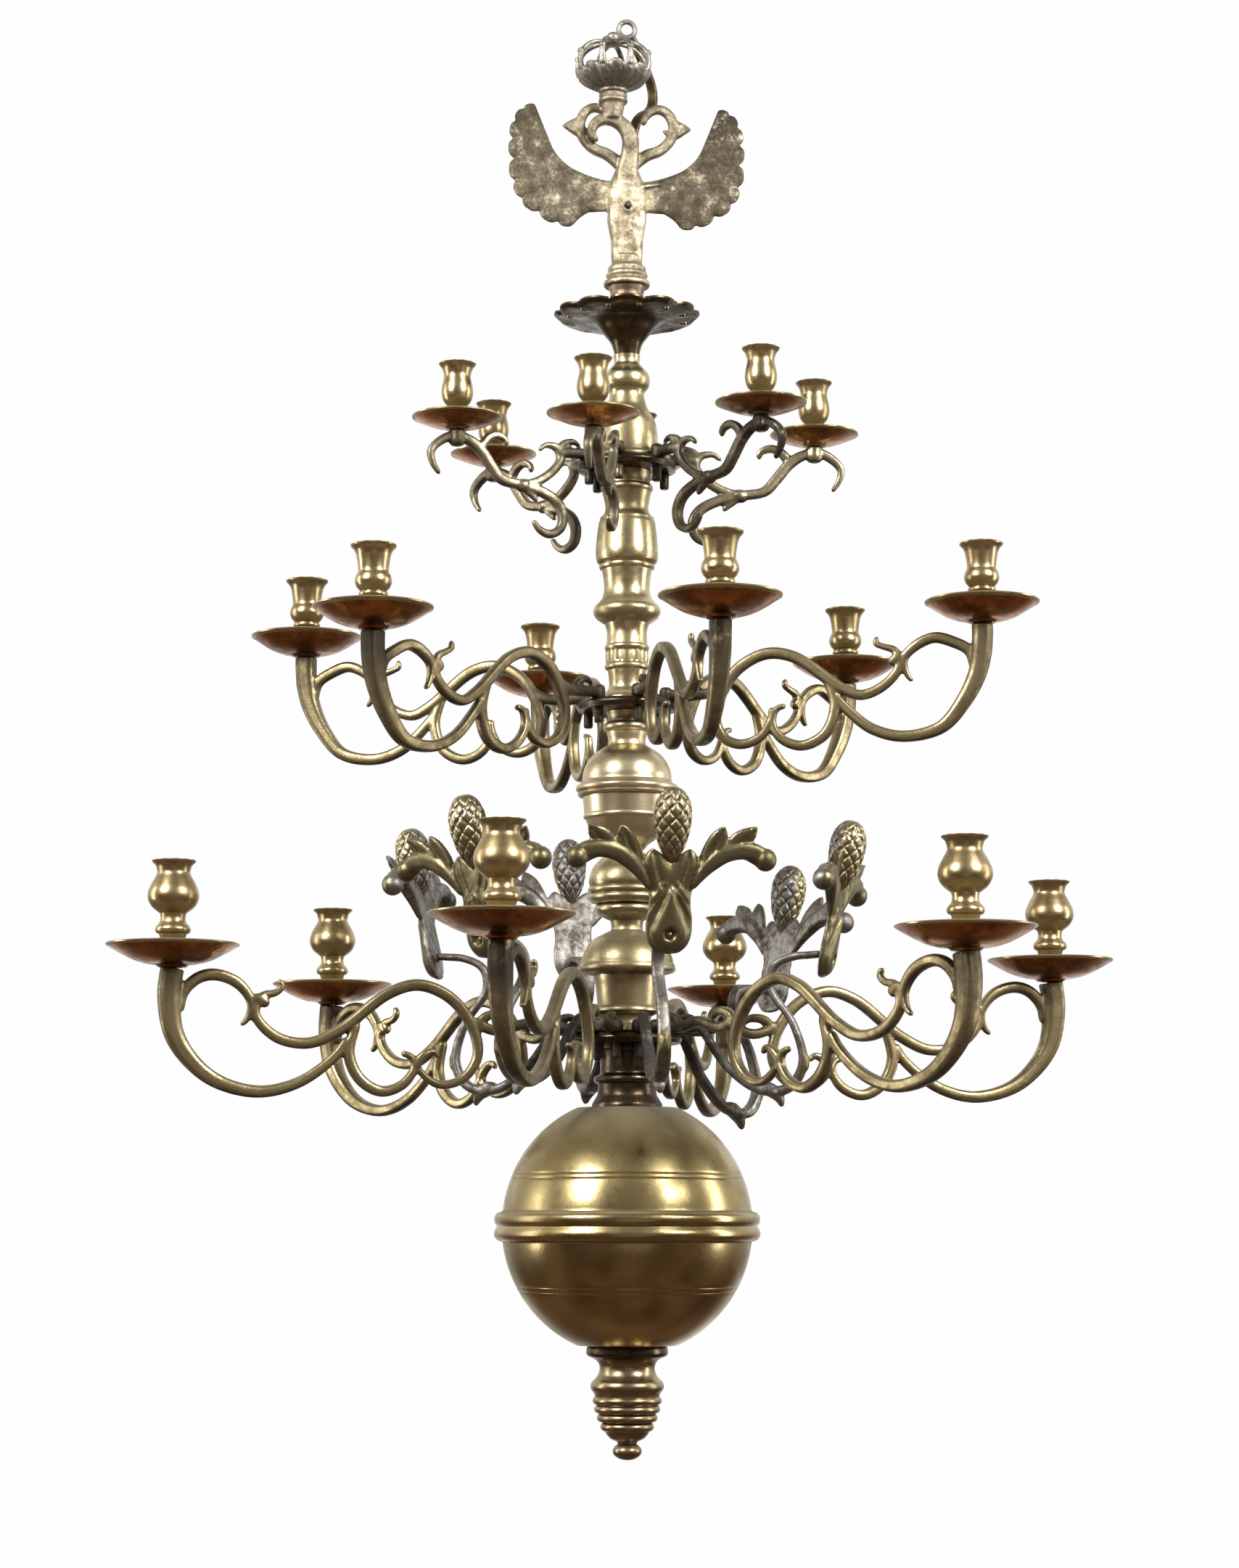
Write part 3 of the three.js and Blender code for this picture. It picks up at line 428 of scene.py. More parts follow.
upper_ring = [
    (108.6, 0.15), (110.2, 2.2), (110.8, 5.2), (110.3, 8.4), (108.2, 10.8), (105.2, 11.6), (103.9, 12.6),
]
upper_points, upper_faces = turned(ball_half(41, upper_ring), segments=144)
piece(
    "ball_upper_shell", on_stem(upper_points), upper_faces, [polished_brass], "stem",
    ["ball_upper_half"],
)
lower_ring = [(108.6, 0.15), (109.4, 1.8), (110.8, 5), (110.5, 9), (107.2, 12.2), (104.4, 12.8)]
lower_points, lower_faces = turned(ball_half(52, lower_ring), segments=144)
lower_faces = [face[::-1] for face in lower_faces]
piece(
    "ball_lower_shell", on_stem(lower_points * [1, 1, -1]), lower_faces, [polished_brass], "stem",
    ["ball_lower_half"],
)

# Finial
# A turned brass drop closes the stack. It has a collar gone nearly black, a waist, five ribs and an
# end ball, and is screwed onto the rod.
finial_brass = metal(
    "finial_brass", (0.40, 0.31, 0.18), (0.17, 0.12, 0.07), (0.03, 0.022, 0.014), 0.2,
    cloud_scale=20, tarnish_amount=0.8, dirt_amount=0.95, smooth=0.26, dull=0.46,
)
dark_bronze = metal(
    "dark_bronze", (0.125, 0.094, 0.057), (0.042, 0.03, 0.021), (0.012, 0.010, 0.009), 0.25,
    cloud_scale=22, tarnish_amount=0.9, dirt_amount=0.6, smooth=0.22, dull=0.5,
)
COLLAR_LEVEL = -108.5
finial_runs = [
    [(0, -191.9), (6.5, -190.6), (11.4, -186.8), (11.9, -183.2), (9.4, -179.6), (7.6, -178.6)],
    [(8.6, -176.8), (13.8, -174.2), (17, -171)], [(18.4, -168.6)],
]
for rib_height, rib_radius in [(-164.5, 22.2), (-157.2, 25.2), (-150.2, 27.4), (-143.2, 28.7)]:
    finial_runs.append([
        (rib_radius - 0.9, rib_height - 2.4), (rib_radius, rib_height),
        (rib_radius - 0.7, rib_height + 2.1), (rib_radius - 2, rib_height + 3.2),
    ])
finial_runs += [
    [(27.4, -137.4), (29.6, -134.6), (30.5, -131.4), (29.4, -128), (27, -125.8)],
    [(24.2, -122), (22.9, -117), (24, -112.4), (27.6, -109), (31.6, -107.4)],
    [(33.7, -105.6), (33.7, -100.6), (32.9, -98.4)],
    [(ROD_BORE, -98.4)], [(ROD_BORE, -158)], [(0, -158)],
]
finial_points, finial_faces = turned(finial_runs, segments=72, spacing=1.2)
finial_levels = [finial_points[list(face), 2].mean() for face in finial_faces]
piece(
    "finial_drop", on_stem(finial_points), finial_faces, [finial_brass, dark_bronze], "stem",
    ["finial"], pick=lambda mesh: [int(level > COLLAR_LEVEL) for level in finial_levels],
)

# Stem sections
# Turned brass sleeves stand on each other round the iron rod, each seated in the one below.
# The lowest drum has gone nearly black, the small ball is rubbed bright, and the others are satin.
# Painted shade darkens the undersides of the satin and the rubbed brass.
satin_brass = metal(
    "satin_brass", (0.68, 0.575, 0.335), (0.26, 0.205, 0.105), (0.05, 0.036, 0.02), 0.24,
    cloud_scale=20, tarnish_amount=0.85, dirt_amount=0.95, smooth=0.25, dull=0.46, underside=0.35, dust=0.4,
)
rubbed_brass = metal(
    "rubbed_brass", (0.85, 0.73, 0.485), (0.48, 0.375, 0.2), (0.05, 0.036, 0.02), 0.2,
    cloud_scale=14, tarnish_amount=0.6, dirt_amount=0.9, smooth=0.3, dull=0.46, underside=0.3,
)


def sleeve(runs, shape=None):
    """A turned sleeve with the rod's bore, from outline runs that go up its outside."""
    top, bottom = runs[-1][-1], runs[0][0]
    bore = [[(ROD_BORE, top[1])], [(ROD_BORE, bottom[1])], [bottom]]
    return turned(runs + bore, segments=72, spacing=1.2, shape=shape)


neck_drum = [
    [(29.6, 98.4), (29.4, 101), (27.4, 104.6), (25, 109), (24.4, 114), (24.8, 118)],
    [(27.2, 119.2), (27.9, 121.4), (27.2, 123.8), (24.6, 125)],
    [(22.6, 126.6), (22.5, 132), (22.5, 141), (22.8, 145.6)], [(24.2, 147.4), (24, 150.7)],
]
bell_urn = [
    [(24, 159.3), (26, 160.8), (26.2, 163.2), (24.2, 165.4)], [(21, 167.4), (20, 170.6), (20.6, 174.6)],
    [(23.6, 176), (27, 178.6), (26.6, 181.2), (24.9, 182.6)], [(25.6, 190), (26.8, 200), (28.6, 208.8)],
    [(36.4, 210.4), (40.2, 212), (41, 214.6), (40.4, 217)],
    [(39.4, 218.4), (38.8, 221.6), (35.4, 230), (29, 238.4), (20.4, 243.4), (14.4, 246.2), (13.6, 246.5)],
]
ringed_bulb = [
    [(13.6, 246.8), (13.2, 250.6), (14, 255)],
    [(20, 257.6), (25.2, 260.6), (27, 264.4), (25.4, 268), (24.6, 268.8)],
    [(29.4, 269.8), (32.2, 272.6), (32.6, 275), (31.2, 277.4)], [(33, 279.4), (32.8, 282.2), (31.2, 283.6)],
    [(32.2, 287), (31.8, 292), (29, 299.4), (23, 306.4), (15.6, 311.6), (13, 313.8)],
]
small_ball = [
    [(13, 314.1), (15.6, 316.6), (17.4, 319), (24.6, 324.4), (31.4, 332.6), (35.4, 341)],
    [(36.8, 342), (36.9, 344), (36.2, 345.2)], [(36.8, 352), (37.6, 360)],
    [(41, 360.6), (42, 362.4), (41, 364)], [(43.3, 365.6), (43.2, 368.6), (40.4, 370.6)],
    [(38.2, 372.6), (37.6, 379), (34.8, 387.6), (29, 395.6), (21, 401.4), (16.4, 404)],
    [(15.6, 407.6), (16.6, 412.6), (17, 415.6)], [(19.4, 417), (20.2, 419.6), (19.2, 422.4), (16.6, 424)],
    [(16, 428), (17.4, 432.7)],
]
main_baluster = [
    [(24, 441.3), (24.2, 443.6), (22.6, 446.4), (18.4, 449)], [(15.6, 453), (15.4, 461), (16.4, 468.6)],
    [(18.7, 470), (18.9, 472.4), (17.8, 474)], [(18.2, 479), (18, 485.6)],
    [(18.9, 487), (18.7, 489.4), (17.6, 490.6)], [(17, 497), (17.3, 503), (19, 508.6)],
    [(22.4, 510.8), (26.8, 514.2), (28.8, 519.6), (27.4, 523.6), (25, 526)],
    [(21.6, 530.2), (19.6, 537), (19.9, 546), (21.4, 555.4)], [(23.4, 556.6), (23.8, 559), (23, 560.4)],
    [(25.4, 562), (26.7, 568), (26.4, 576), (25.4, 587), (24.2, 596.4)],
    [(23.4, 598), (23.2, 600.2), (21.6, 601.6)], [(19.2, 605), (18.5, 610), (19.6, 617), (21.2, 623.4)],
    [(22.3, 625), (22, 628), (20.4, 629.6)], [(19.8, 634), (20.6, 640.7)],
]
upper_baluster = [
    [(25.6, 649.3), (28, 651.6), (28.2, 654.6), (26.2, 656.6)], [(26.6, 662), (26.4, 672), (25.2, 681)],
    [(23.8, 686), (20.2, 692.4), (17, 698.4), (15.6, 703.4)], [(15, 706.6), (15, 710), (16.2, 712.6)],
    [(18.8, 715.6), (19.9, 720.4), (19.2, 725.4), (16.6, 729.6), (13.6, 732.6)],
    [(11.4, 735.2), (11, 738.6), (11.6, 743)],
]
REEDS = (475, 485)
REED_DEPTH = 0.9
SCALLOPS = (159.5, 165.2)
SCALLOP_DEPTH = 1.3


def reeded(angle, radius, height):
    """Upright reeds on the short drum of the main baluster."""
    depth = REED_DEPTH if REEDS[0] < height < REEDS[1] else 0
    return radius - depth * abs(math.sin(9 * angle)), height


def scalloped_foot(angle, radius, height):
    """Scallops round the foot ring of the urn."""
    depth = SCALLOP_DEPTH if SCALLOPS[0] < height < SCALLOPS[1] and radius > 10 else 0
    return radius - depth * abs(math.cos(8 * angle)), height


for section_name, section_runs, section_shape, section_finish, section_slot in [
    ("neck_drum", neck_drum, None, dark_bronze, "dark_bronze"),
    ("bell_urn", bell_urn, scalloped_foot, satin_brass, "polished_brass"),
    ("ringed_bulb", ringed_bulb, None, satin_brass, "polished_brass"),
    ("small_ball", small_ball, None, rubbed_brass, "polished_brass"),
    ("main_baluster", main_baluster, reeded, satin_brass, "polished_brass"),
    ("upper_baluster", upper_baluster, None, satin_brass, "polished_brass"),
]:
    section_points, section_faces = sleeve(section_runs, shape=section_shape)
    piece(
        section_name + "_turning", on_stem(section_points), section_faces, [section_finish], "stem",
        [section_name],
    )

# Candle cups
# Each is a drip pan and a candle socket, turned and screwed together above the arm.
# The socket and the top of the pan are brass, and the underside of the pan has a red-brown bloom.
# Painted shade darkens the undersides of the cup brass.
cup_brass = metal(
    "cup_brass", (0.55, 0.435, 0.23), (0.27, 0.19, 0.09), (0.05, 0.03, 0.016), 0.18,
    cloud_scale=18, tarnish_amount=0.65, dirt_amount=0.9, smooth=0.25, dull=0.42, underside=0.35, dust=0.45,
)
pan_bloom = metal(
    "pan_bloom", (0.5, 0.215, 0.068), (0.165, 0.065, 0.028), (0.03, 0.018, 0.01), 0.16,
    cloud_scale=26, tarnish_amount=0.9, dirt_amount=0.5, smooth=0.18, dull=0.36,
)
STUD_RADIUS = 3
STUD_LENGTH = 11
PAN_BORDER = 2.8
PAN_DEPTH = 20.5
PAN_FOOT = 9.5
CUP_OUTLINES = {
    "lower": [
        [(9, -19)], [(11.5, -18.6)],
        [(14, -16.6), (22, -15.6), (32, -12.6), (43, -7.2), (51, -2.6), (54.5, -0.4)],
        [(54.6, 0.5), (53.7, 1.1)], [(49, -1.2), (40, -5.6), (30, -9.8), (20, -12.4), (13, -13)],
        [(14.6, -11.6), (14.4, -9.2), (12.2, -7.6)], [(9.8, -4), (9.6, 2), (11.4, 8.6)],
        [(14, 10), (14.6, 12.6), (13.6, 15)], [(11, 18), (10.2, 22), (10.8, 25.4)],
        [(12.4, 26.6), (17.6, 31), (20.8, 37.4), (20.6, 43.6), (17.6, 50.6), (14.2, 56.6)],
        [(13.4, 59.2), (13.8, 61.6)], [(15, 65), (17.6, 67.4), (18.3, 68.6)], [(17.4, 69.2), (15.8, 68.2)],
        [(12.4, 64), (11, 60)],
    ],
    "middle": [
        [(9, -18)], [(11, -17.7)],
        [(13, -16), (20, -14.8), (29, -11.8), (38, -6.8), (45, -2.2), (48, -0.4)],
        [(48.2, 0.6), (47.2, 1.2)], [(42, -1.6), (33, -6.4), (24, -9.8), (16, -11.6), (10.6, -12)],
        [(11.6, -10), (10.8, -8)], [(8.8, -4), (8.8, 2), (9.8, 8)], [(11.6, 9.4), (11.6, 11.4), (10.4, 13)],
        [(13.4, 16.4), (14.8, 20.6), (14, 25), (12.4, 28)], [(12.2, 30), (12.8, 36), (14, 42.6)],
        [(15.6, 46), (18.2, 48.8), (18.5, 49.8)], [(17.6, 50.6), (16, 49.8)], [(12.6, 46), (10.5, 42)],
    ],
    "top": [
        [(7, -11)], [(9, -10.7)], [(11, -9.4), (18, -8), (27, -5), (34, -2), (38, -0.4)],
        [(38.1, 0.5), (37.2, 1)], [(32, -1.2), (24, -4), (16, -6.2), (8, -6.8)], [(8.8, -5.2), (8.2, -3.8)],
        [(6.4, -1), (6.2, 4), (6.8, 8.4)], [(8, 9.6), (11.4, 13.4), (13.3, 19.6), (13.1, 26), (11.8, 32)],
        [(11.3, 35.4), (11.7, 38)], [(13, 42), (15.4, 45), (15.9, 45.8)], [(15, 46.5), (13.6, 45.8)],
        [(10.6, 42), (9.5, 38)],
    ],
}
SOCKET_FLOORS = {"lower": (11, 40), "middle": (10.5, 30), "top": (9.5, 24)}
LIP_TOPS = {"lower": (68.6, 6), "middle": (49.8, 5), "top": (45.8, 5)}


def cup_mesh(tier):
    """A cup with its stud, heights above the rim of its pan. The lip has twelve faint lobes."""
    radius, floor_level = SOCKET_FLOORS[tier]
    lip, fade = LIP_TOPS[tier]
    runs = CUP_OUTLINES[tier]
    bottom = runs[0][0][1]

    def lobed(angle, r, z):
        share = max(0, min(1, 1 - (lip - z) / fade)) if r > radius + 1 else 0
        return r + 0.2 * share * (math.cos(12 * angle) - 1) / 2, z + 0.12 * share * math.cos(12 * angle)

    end = bottom - STUD_LENGTH
    stud = [[(0, end), (STUD_RADIUS, end)], [(STUD_RADIUS, bottom)]]
    socket = [[(radius, floor_level)], [(0, floor_level)]]
    return turned(stud + runs + socket, segments=60, spacing=1.3, shape=lobed)


def underside(mesh):
    """Material number 1 for the underside of the pan inside its rim, 0 for all other faces."""
    low = min(v.co.z for v in mesh.vertices) + STUD_LENGTH * MM
    centre = sum((v.co for v in mesh.vertices), start=mesh.vertices[0].co * 0) / len(mesh.vertices)
    rim = max((v.co.xy - centre.xy).length for v in mesh.vertices) - PAN_BORDER * MM
    kinds = []
    for p in mesh.polygons:
        below = p.normal.z < -0.12 and p.center.z < low + PAN_DEPTH * MM
        kinds.append(int(below and PAN_FOOT * MM < (p.center.xy - centre.xy).length < rim))
    return kinds


# Arms
# Each arm is one brass casting: a stout post under the cup sweeps down and in to the big scrolls,
# which fuse where they cross. A tail leads to the peg that stands in a hole of the arm plate. Grime and
# painted shade lie near the plate, a painted shadow of the pan and tarnish darken the posts under the
# cups, and some of the arms are, more or less, darker all over.
# Painted shade: undersides are darkened, and the wide hollow size lets ambient occlusion lay a painted
# shadow of the pan on each post.
arm_brass = metal(
    "arm_brass", (0.47, 0.385, 0.21), (0.17, 0.13, 0.065), (0.032, 0.022, 0.012), 0.3, stained_and_shaded=True,
    cloud_scale=26, tarnish_amount=0.8, dirt_amount=0.95, smooth=0.27, dull=0.48, hollow_size=0.032,
    underside=0.9, dust=0.3,
)
pale_brass = metal(
    "pale_brass", (0.56, 0.485, 0.32), (0.17, 0.13, 0.08), (0.03, 0.022, 0.014), 0.35, stained_and_shaded=True,
    cloud_scale=30, tarnish_amount=0.8, dirt_amount=0.95, smooth=0.27, dull=0.5, hollow_size=0.013,
    underside=0.85, dust=0.3,
)
PEG_CIRCLE = 34
PEG_RADIUS = 4
PLATE_THICKNESS = 8
PEG_LENGTH = 13


def swept(points, sizes, power=3.2, around=14, spacing=1.8, tips=(0.25, 0.25)):
    """A closed bar along points x, z in one upright plane. sizes gives its half sizes in the plane and
    across it, evenly along the bar. power is how square its section is, and tips how blunt its ends are."""
    path = np.array(smooth_through(points, spacing))
    steps = np.linalg.norm(np.diff(path, axis=0), axis=1)
    covered = np.concatenate([[0], np.cumsum(steps)])
    whole = covered[-1]
    slope = np.gradient(path, axis=0)
    slope /= np.linalg.norm(slope, axis=1)[:, None]
    sizes = np.array(sizes, float)
    halves = [np.interp(covered / whole, np.linspace(0, 1, len(sizes)), half) for half in sizes.T]
    rings, faces = [], []
    for (x, z), (tx, tz), at, in_plane, across in zip(path, slope, covered, *halves):
        for end, tip in ((at, tips[0]), (whole - at, tips[1])):
            reach = max(in_plane, 0.5)
            if end < reach:
                round_off = math.sqrt(max(0, 1 - (1 - end / reach) ** 2))
                in_plane, across = (size * (tip + (1 - tip) * round_off) for size in (in_plane, across))
        for k in range(around):
            angle = 2 * math.pi * k / around
            c, s = math.cos(angle), math.sin(angle)
            u = in_plane * math.copysign(abs(c) ** (2 / power), c)
            v = across * math.copysign(abs(s) ** (2 / power), s)
            rings.append((x - tz * u, v, z + tx * u))
    for i in range(len(path) - 1):
        for k in range(around):
            a, b = i * around + k, i * around + (k + 1) % around
            faces.append((a, b, b + around, a + around))
    last = (len(path) - 1) * around
    faces.append(tuple(range(around - 1, -1, -1)))
    faces.append(tuple(last + k for k in range(around)))
    return np.array(rings), faces


def together(parts):
    """Several closed meshes as one list of vertices and faces."""
    vertices, faces, first = [], [], 0
    for points, sides in parts:
        vertices.append(np.asarray(points, float))
        faces += [tuple(i + first for i in side) for side in sides]
        first += len(points)
    return np.concatenate(vertices), faces


def remade(rough):
    """Vertices and faces of a scratch object as its modifiers leave it, after which it is deleted."""
    evaluated = rough.evaluated_get(bpy.context.evaluated_depsgraph_get()).to_mesh()
    points = np.empty(len(evaluated.vertices) * 3)
    evaluated.vertices.foreach_get("co", points)
    faces = [tuple(p.vertices) for p in evaluated.polygons]
    discard(rough)
    return points.reshape(-1, 3), faces


def scratch_object(vertices, faces):
    """An object that is only there to be changed by modifiers."""
    mesh = bpy.data.meshes.new("scratch")
    mesh.from_pydata(np.asarray(vertices).tolist(), [], faces)
    made = bpy.data.objects.new("scratch", mesh)
    collection.objects.link(made)
    return made


def discard(made):
    """Deletes a scratch object and its mesh."""
    mesh = made.data
    bpy.data.objects.remove(made)
    bpy.data.meshes.remove(mesh)


def cast(parts, voxel, smoothing=1):
    """Overlapping closed parts fused into one skin with soft joints, as a casting has."""
    rough = scratch_object(*together(parts))
    remesh = rough.modifiers.new("skin", "REMESH")
    remesh.mode = "VOXEL"
    remesh.voxel_size = voxel
    remesh.adaptivity = 0
    softer = rough.modifiers.new("soft", "SMOOTH")
    softer.factor = 0.5
    softer.iterations = smoothing
    return remade(rough)


def peg_parts(way, root_size):
    """The wavy tail from the scroll to the peg, a curl on it, and the peg with a small rounded head."""
    tail = swept([*way, (10, 4.8), (-4.5, 4.8)], [root_size, (4.4, 4.8), (4.6, 4.5), (4.6, 4.4)])
    curl = swept([(30, 5), (24, 12), (15, 14.5), (8, 11)], [(3, 3.8), (3.2, 3.8), (2.6, 3.2), (1.2, 1.8)])
    bottom = -PLATE_THICKNESS - PEG_LENGTH
    peg = turned([
        [(0, bottom), (PEG_RADIUS - 0.8, bottom)], [(PEG_RADIUS, bottom + 1)], [(PEG_RADIUS, 0.3)],
        [(5.4, 0.5)], [(5.6, 8), (4.2, 11), (0, 12)],
    ], segments=16, spacing=1.5)
    return [tail, curl, peg]


def moved(part, x, y, z):
    """A part set off by a distance along each axis."""
    vertices, faces = part
    return np.asarray(vertices) + [x, y, z], faces


lower_arm_parts = [
    swept(
        [
            (347, 49.5), (348.5, 40), (349.5, 28), (345, -3), (331, -25), (309, -42), (275, -50),
            (242, -42), (213, -21), (202, -6),
        ],
        [
            (9.8, 9.4), (9.4, 9), (8.2, 7.8), (6.8, 6.6), (5.7, 5.8), (5.1, 5.4), (4.7, 5), (4.3, 4.6),
            (4, 4.2),
        ],
        tips=(1, 0.3),
    ),
    swept(
        [
            (260, 42), (257, 36), (262, 31), (273, 28), (279, 14), (262, -5), (235, -10), (209, 1),
            (168, 32), (143, 39), (116, 28), (97, 2), (94, -20), (106, -38), (126, -43), (142, -32),
            (146, -21),
        ],
        [
            (2.2, 2.6), (4, 4), (4.6, 4.8), (4.8, 5), (4.8, 5.2), (5, 5.4), (5, 5.4), (4.7, 5.2),
            (4.3, 4.8), (3.6, 4.2), (2.4, 3),
        ],
    ),
    swept(
        [(195, 8), (201, -19), (192, -39), (174, -49), (156, -43), (147, -30), (149, -21), (158, -17)],
        [(3.8, 4.4), (4.8, 5), (4.8, 5), (4, 4.4), (2.4, 2.8)],
    ),
    swept(
        [(342, 14), (338, 30), (326, 42), (312, 45), (293, 38), (282, 22), (286, 8), (291, 4)],
        [(5, 5.4), (4.8, 5.2), (5, 5.2), (4.8, 5), (3.8, 4.2), (1.8, 2.4)],
    ),
    swept([(283, 24), (276, 26), (268, 20)], [(3.6, 4), (4.6, 4.8), (4, 4.2)]),
    swept([(147, -31), (140, -20), (131, -16), (126, -21)], [(3.6, 4), (3.8, 4.2), (1.8, 2.4)]),
    swept([(96, 4), (86, 14), (74, 15), (66, 9)], [(3.4, 4), (4, 4.6), (3.6, 4.2), (1.8, 2.4)]),
    *peg_parts([(100, 10), (78, 2), (52, 8), (30, 4)], (4.2, 4.6)),
]
middle_arm_parts = [
    swept(
        [
            (255, 50.4), (255, 40), (254, 26), (250, 8), (239, -14), (221, -35), (191, -41), (166, -33),
            (146, -15), (136, -3),
        ],
        [
            (9, 8.4), (8.7, 8.2), (7.6, 7.4), (6.4, 6.4), (5.4, 5.6), (4.9, 5.2), (4.7, 5), (4.4, 4.6),
            (4, 4.2),
        ],
        tips=(1, 0.3),
    ),
    swept(
        [
            (171, 45), (170, 39), (176, 36), (185, 32), (188, 18), (176, 3), (158, -4), (142, 3), (104, 32),
            (82, 36), (60, 25), (48, 8), (41, -14), (47, -33), (62, -40), (78, -34), (86, -18), (86, -10),
        ],
        [
            (2, 2.4), (3.6, 3.8), (4.2, 4.6), (4.6, 4.8), (4.9, 5), (5, 5.2), (4.9, 5.2), (4.6, 5),
            (4.4, 4.8), (4, 4.4), (2.4, 3),
        ],
    ),
    swept(
        [(130, 13), (137, -12), (129, -35), (111, -44), (95, -38), (87, -25), (90, -12), (98, -9)],
        [(3.6, 4), (4.6, 4.8), (4.6, 4.8), (3.8, 4.2), (2.2, 2.6)],
    ),
    swept(
        [(249, 12), (244, 28), (232, 36), (216, 41), (200, 34), (192, 24), (195, 10), (199, 5)],
        [(4.6, 5), (4.6, 4.8), (4.7, 4.9), (4.5, 4.8), (3.6, 4), (1.6, 2.2)],
    ),
    swept([(193, 25), (187, 26), (181, 20)], [(3.4, 3.8), (4.2, 4.4), (3.6, 3.8)]),
    *peg_parts([(52, 14), (38, 6), (22, 4)], (4, 4.4)),
]
top_arm_parts = [
    swept(
        [
            (134, -17), (140, -8), (142, 2), (136, 10), (122, 17), (108, 14), (98, 6), (88, -8), (79, -19),
            (60, -24), (42, -30), (29, -39), (24, -51), (27, -62), (36, -66), (45, -62), (51, -54),
        ],
        [
            (1.8, 2.2), (3.4, 3.8), (4.1, 4.6), (4.4, 4.8), (4.4, 4.7), (4.2, 4.6), (4.3, 4.6), (4.4, 4.6),
            (4.3, 4.6), (3.8, 4.2), (1.8, 2.4),
        ],
    ),
    swept([(98, 8), (92, 16), (84, 19), (76, 15), (75, 9)], [(3.8, 4), (3.8, 4), (3.4, 3.6), (1.8, 2.2)]),
    swept(
        [(60, -24), (44, -19), (30, -8), (26, 0), (30, 9), (40, 11), (46, 6)],
        [(3.6, 4), (4, 4.4), (4, 4.3), (3.8, 4), (3, 3.4), (1.6, 2)],
    ),
    swept([(60, -24), (52, -32), (47, -38)], [(3.6, 3.8), (3.2, 3.4), (1.6, 2)]),
    swept([(24, 3), (20, 10), (24, 16)], [(3.4, 3.8), (3.2, 3.4), (1.6, 2)]),
    *peg_parts([(30, 4), (18, 4.6)], (3.8, 4.2)),
]
knob_points, knob_faces = turned([[(0, -5.5), (4.6, -4.4), (6, 0), (4.6, 4.4), (0, 5.5)]], segments=16)
top_arm_parts.append(moved((knob_points[:, [2, 1, 0]] * [1, 1, -1], knob_faces), 60, 0, -24))
top_post = turned([[(0, 8), (5, 9), (7, 12), (7, 21.5)], [(0, 21.7)]], segments=20)
top_arm_parts.append(moved(top_post, 119, 0, 0))

# Each tier lists how much darker each arm is all over, how far a painted shadow of the pan with tarnish
# darkens the top of each post, and how far grime and painted shade reach from the hub.
TIERS = {
    "lower": {
        "reach": 381, "rim": 228, "plate_top": 159, "post_top": 49.7, "parts": lower_arm_parts,
        "voxel": 1.25, "turn": -14.5, "swings": [0.6, -3.4, -0.8, 0.4, 0, -2.6],
        "sags": [0, -2, 1, -6, -8, 0], "outs": [0, 0, 0, 0, 0, 0], "finish": arm_brass, "slot": "arm_brass",
        "overall_darkening": [0.5, 0.1, 0, 0.25, 0.15, 0], "post_shadow_and_tarnish": 0.7, "hub_reach": 125,
    },
    "middle": {
        "reach": 289, "rim": 510, "plate_top": 441, "post_top": 50.7, "parts": middle_arm_parts,
        "voxel": 1.15, "turn": 15.7, "swings": [-1.5, 5, 0.6, 0.7, 0, 0.4],
        "sags": [-29, 8, -1, -4, 0, -25], "outs": [0, 13, 0, 0, 0, 0], "finish": arm_brass,
        "slot": "arm_brass", "overall_darkening": [0.45, 0.1, 0, 0, 0.15, 0.45], "post_shadow_and_tarnish": 0.6, "hub_reach": 80,
    },
    "top": {
        "reach": 153, "rim": 682, "plate_top": 649, "post_top": 21.7, "parts": top_arm_parts, "voxel": 1.05,
        "turn": -11.4, "swings": [1.4, -2.6, -15, 9, 2.8, 2.6], "sags": [-26, -6, -4, 0, -3, -6],
        "outs": [0, 0, 11, 0, 0, 0], "finish": pale_brass, "slot": "pale_brass",
        "overall_darkening": [0.3, 0.8, 0, 0.3, 0.1, 0.15], "post_shadow_and_tarnish": 0.4, "hub_reach": 46,
    },
}
LEVEL_AT_PLATE = 20
LEVEL_UNDER_CUP = 12


def bent(vertices, post_x, sag, out):
    """An arm bent in use, level over the plate and under the cup, in between in proportion."""
    points = np.array(vertices, float)
    share = np.clip((points[:, 0] - LEVEL_AT_PLATE) / (post_x - LEVEL_UNDER_CUP - LEVEL_AT_PLATE), 0, 1)
    points[:, 0] += out * share
    points[:, 2] += sag * share
    return points


def turned_by(vertices, angle):
    """Points turned about the upright axis by one angle, or each by its own."""
    x, y, z = np.asarray(vertices, float).T
    c, s = np.cos(angle), np.sin(angle)
    return np.column_stack([x * c - y * s, x * s + y * c, z])


def stood(vertices, spoke, swing, plate_top):
    """Points of an arm, x outwards from its peg and z above its plate, in place on the stem."""
    direction = math.radians(spoke - 90)
    peg = [
        PEG_CIRCLE * math.cos(direction), PEG_CIRCLE * math.sin(direction), plate_top - EYE_ABOVE_EQUATOR,
    ]
    return turned_by(vertices, direction + math.radians(swing)) + peg


def grime_and_shade_near_hub(vertices, reach):
    """Grime that no cloth has reached and painted shade among the crowded parts near the plate, from full
    by the peg to none at the given x.
    """
    return 0.95 * np.clip((reach - vertices[:, 0]) / (0.6 * reach), 0, 1)


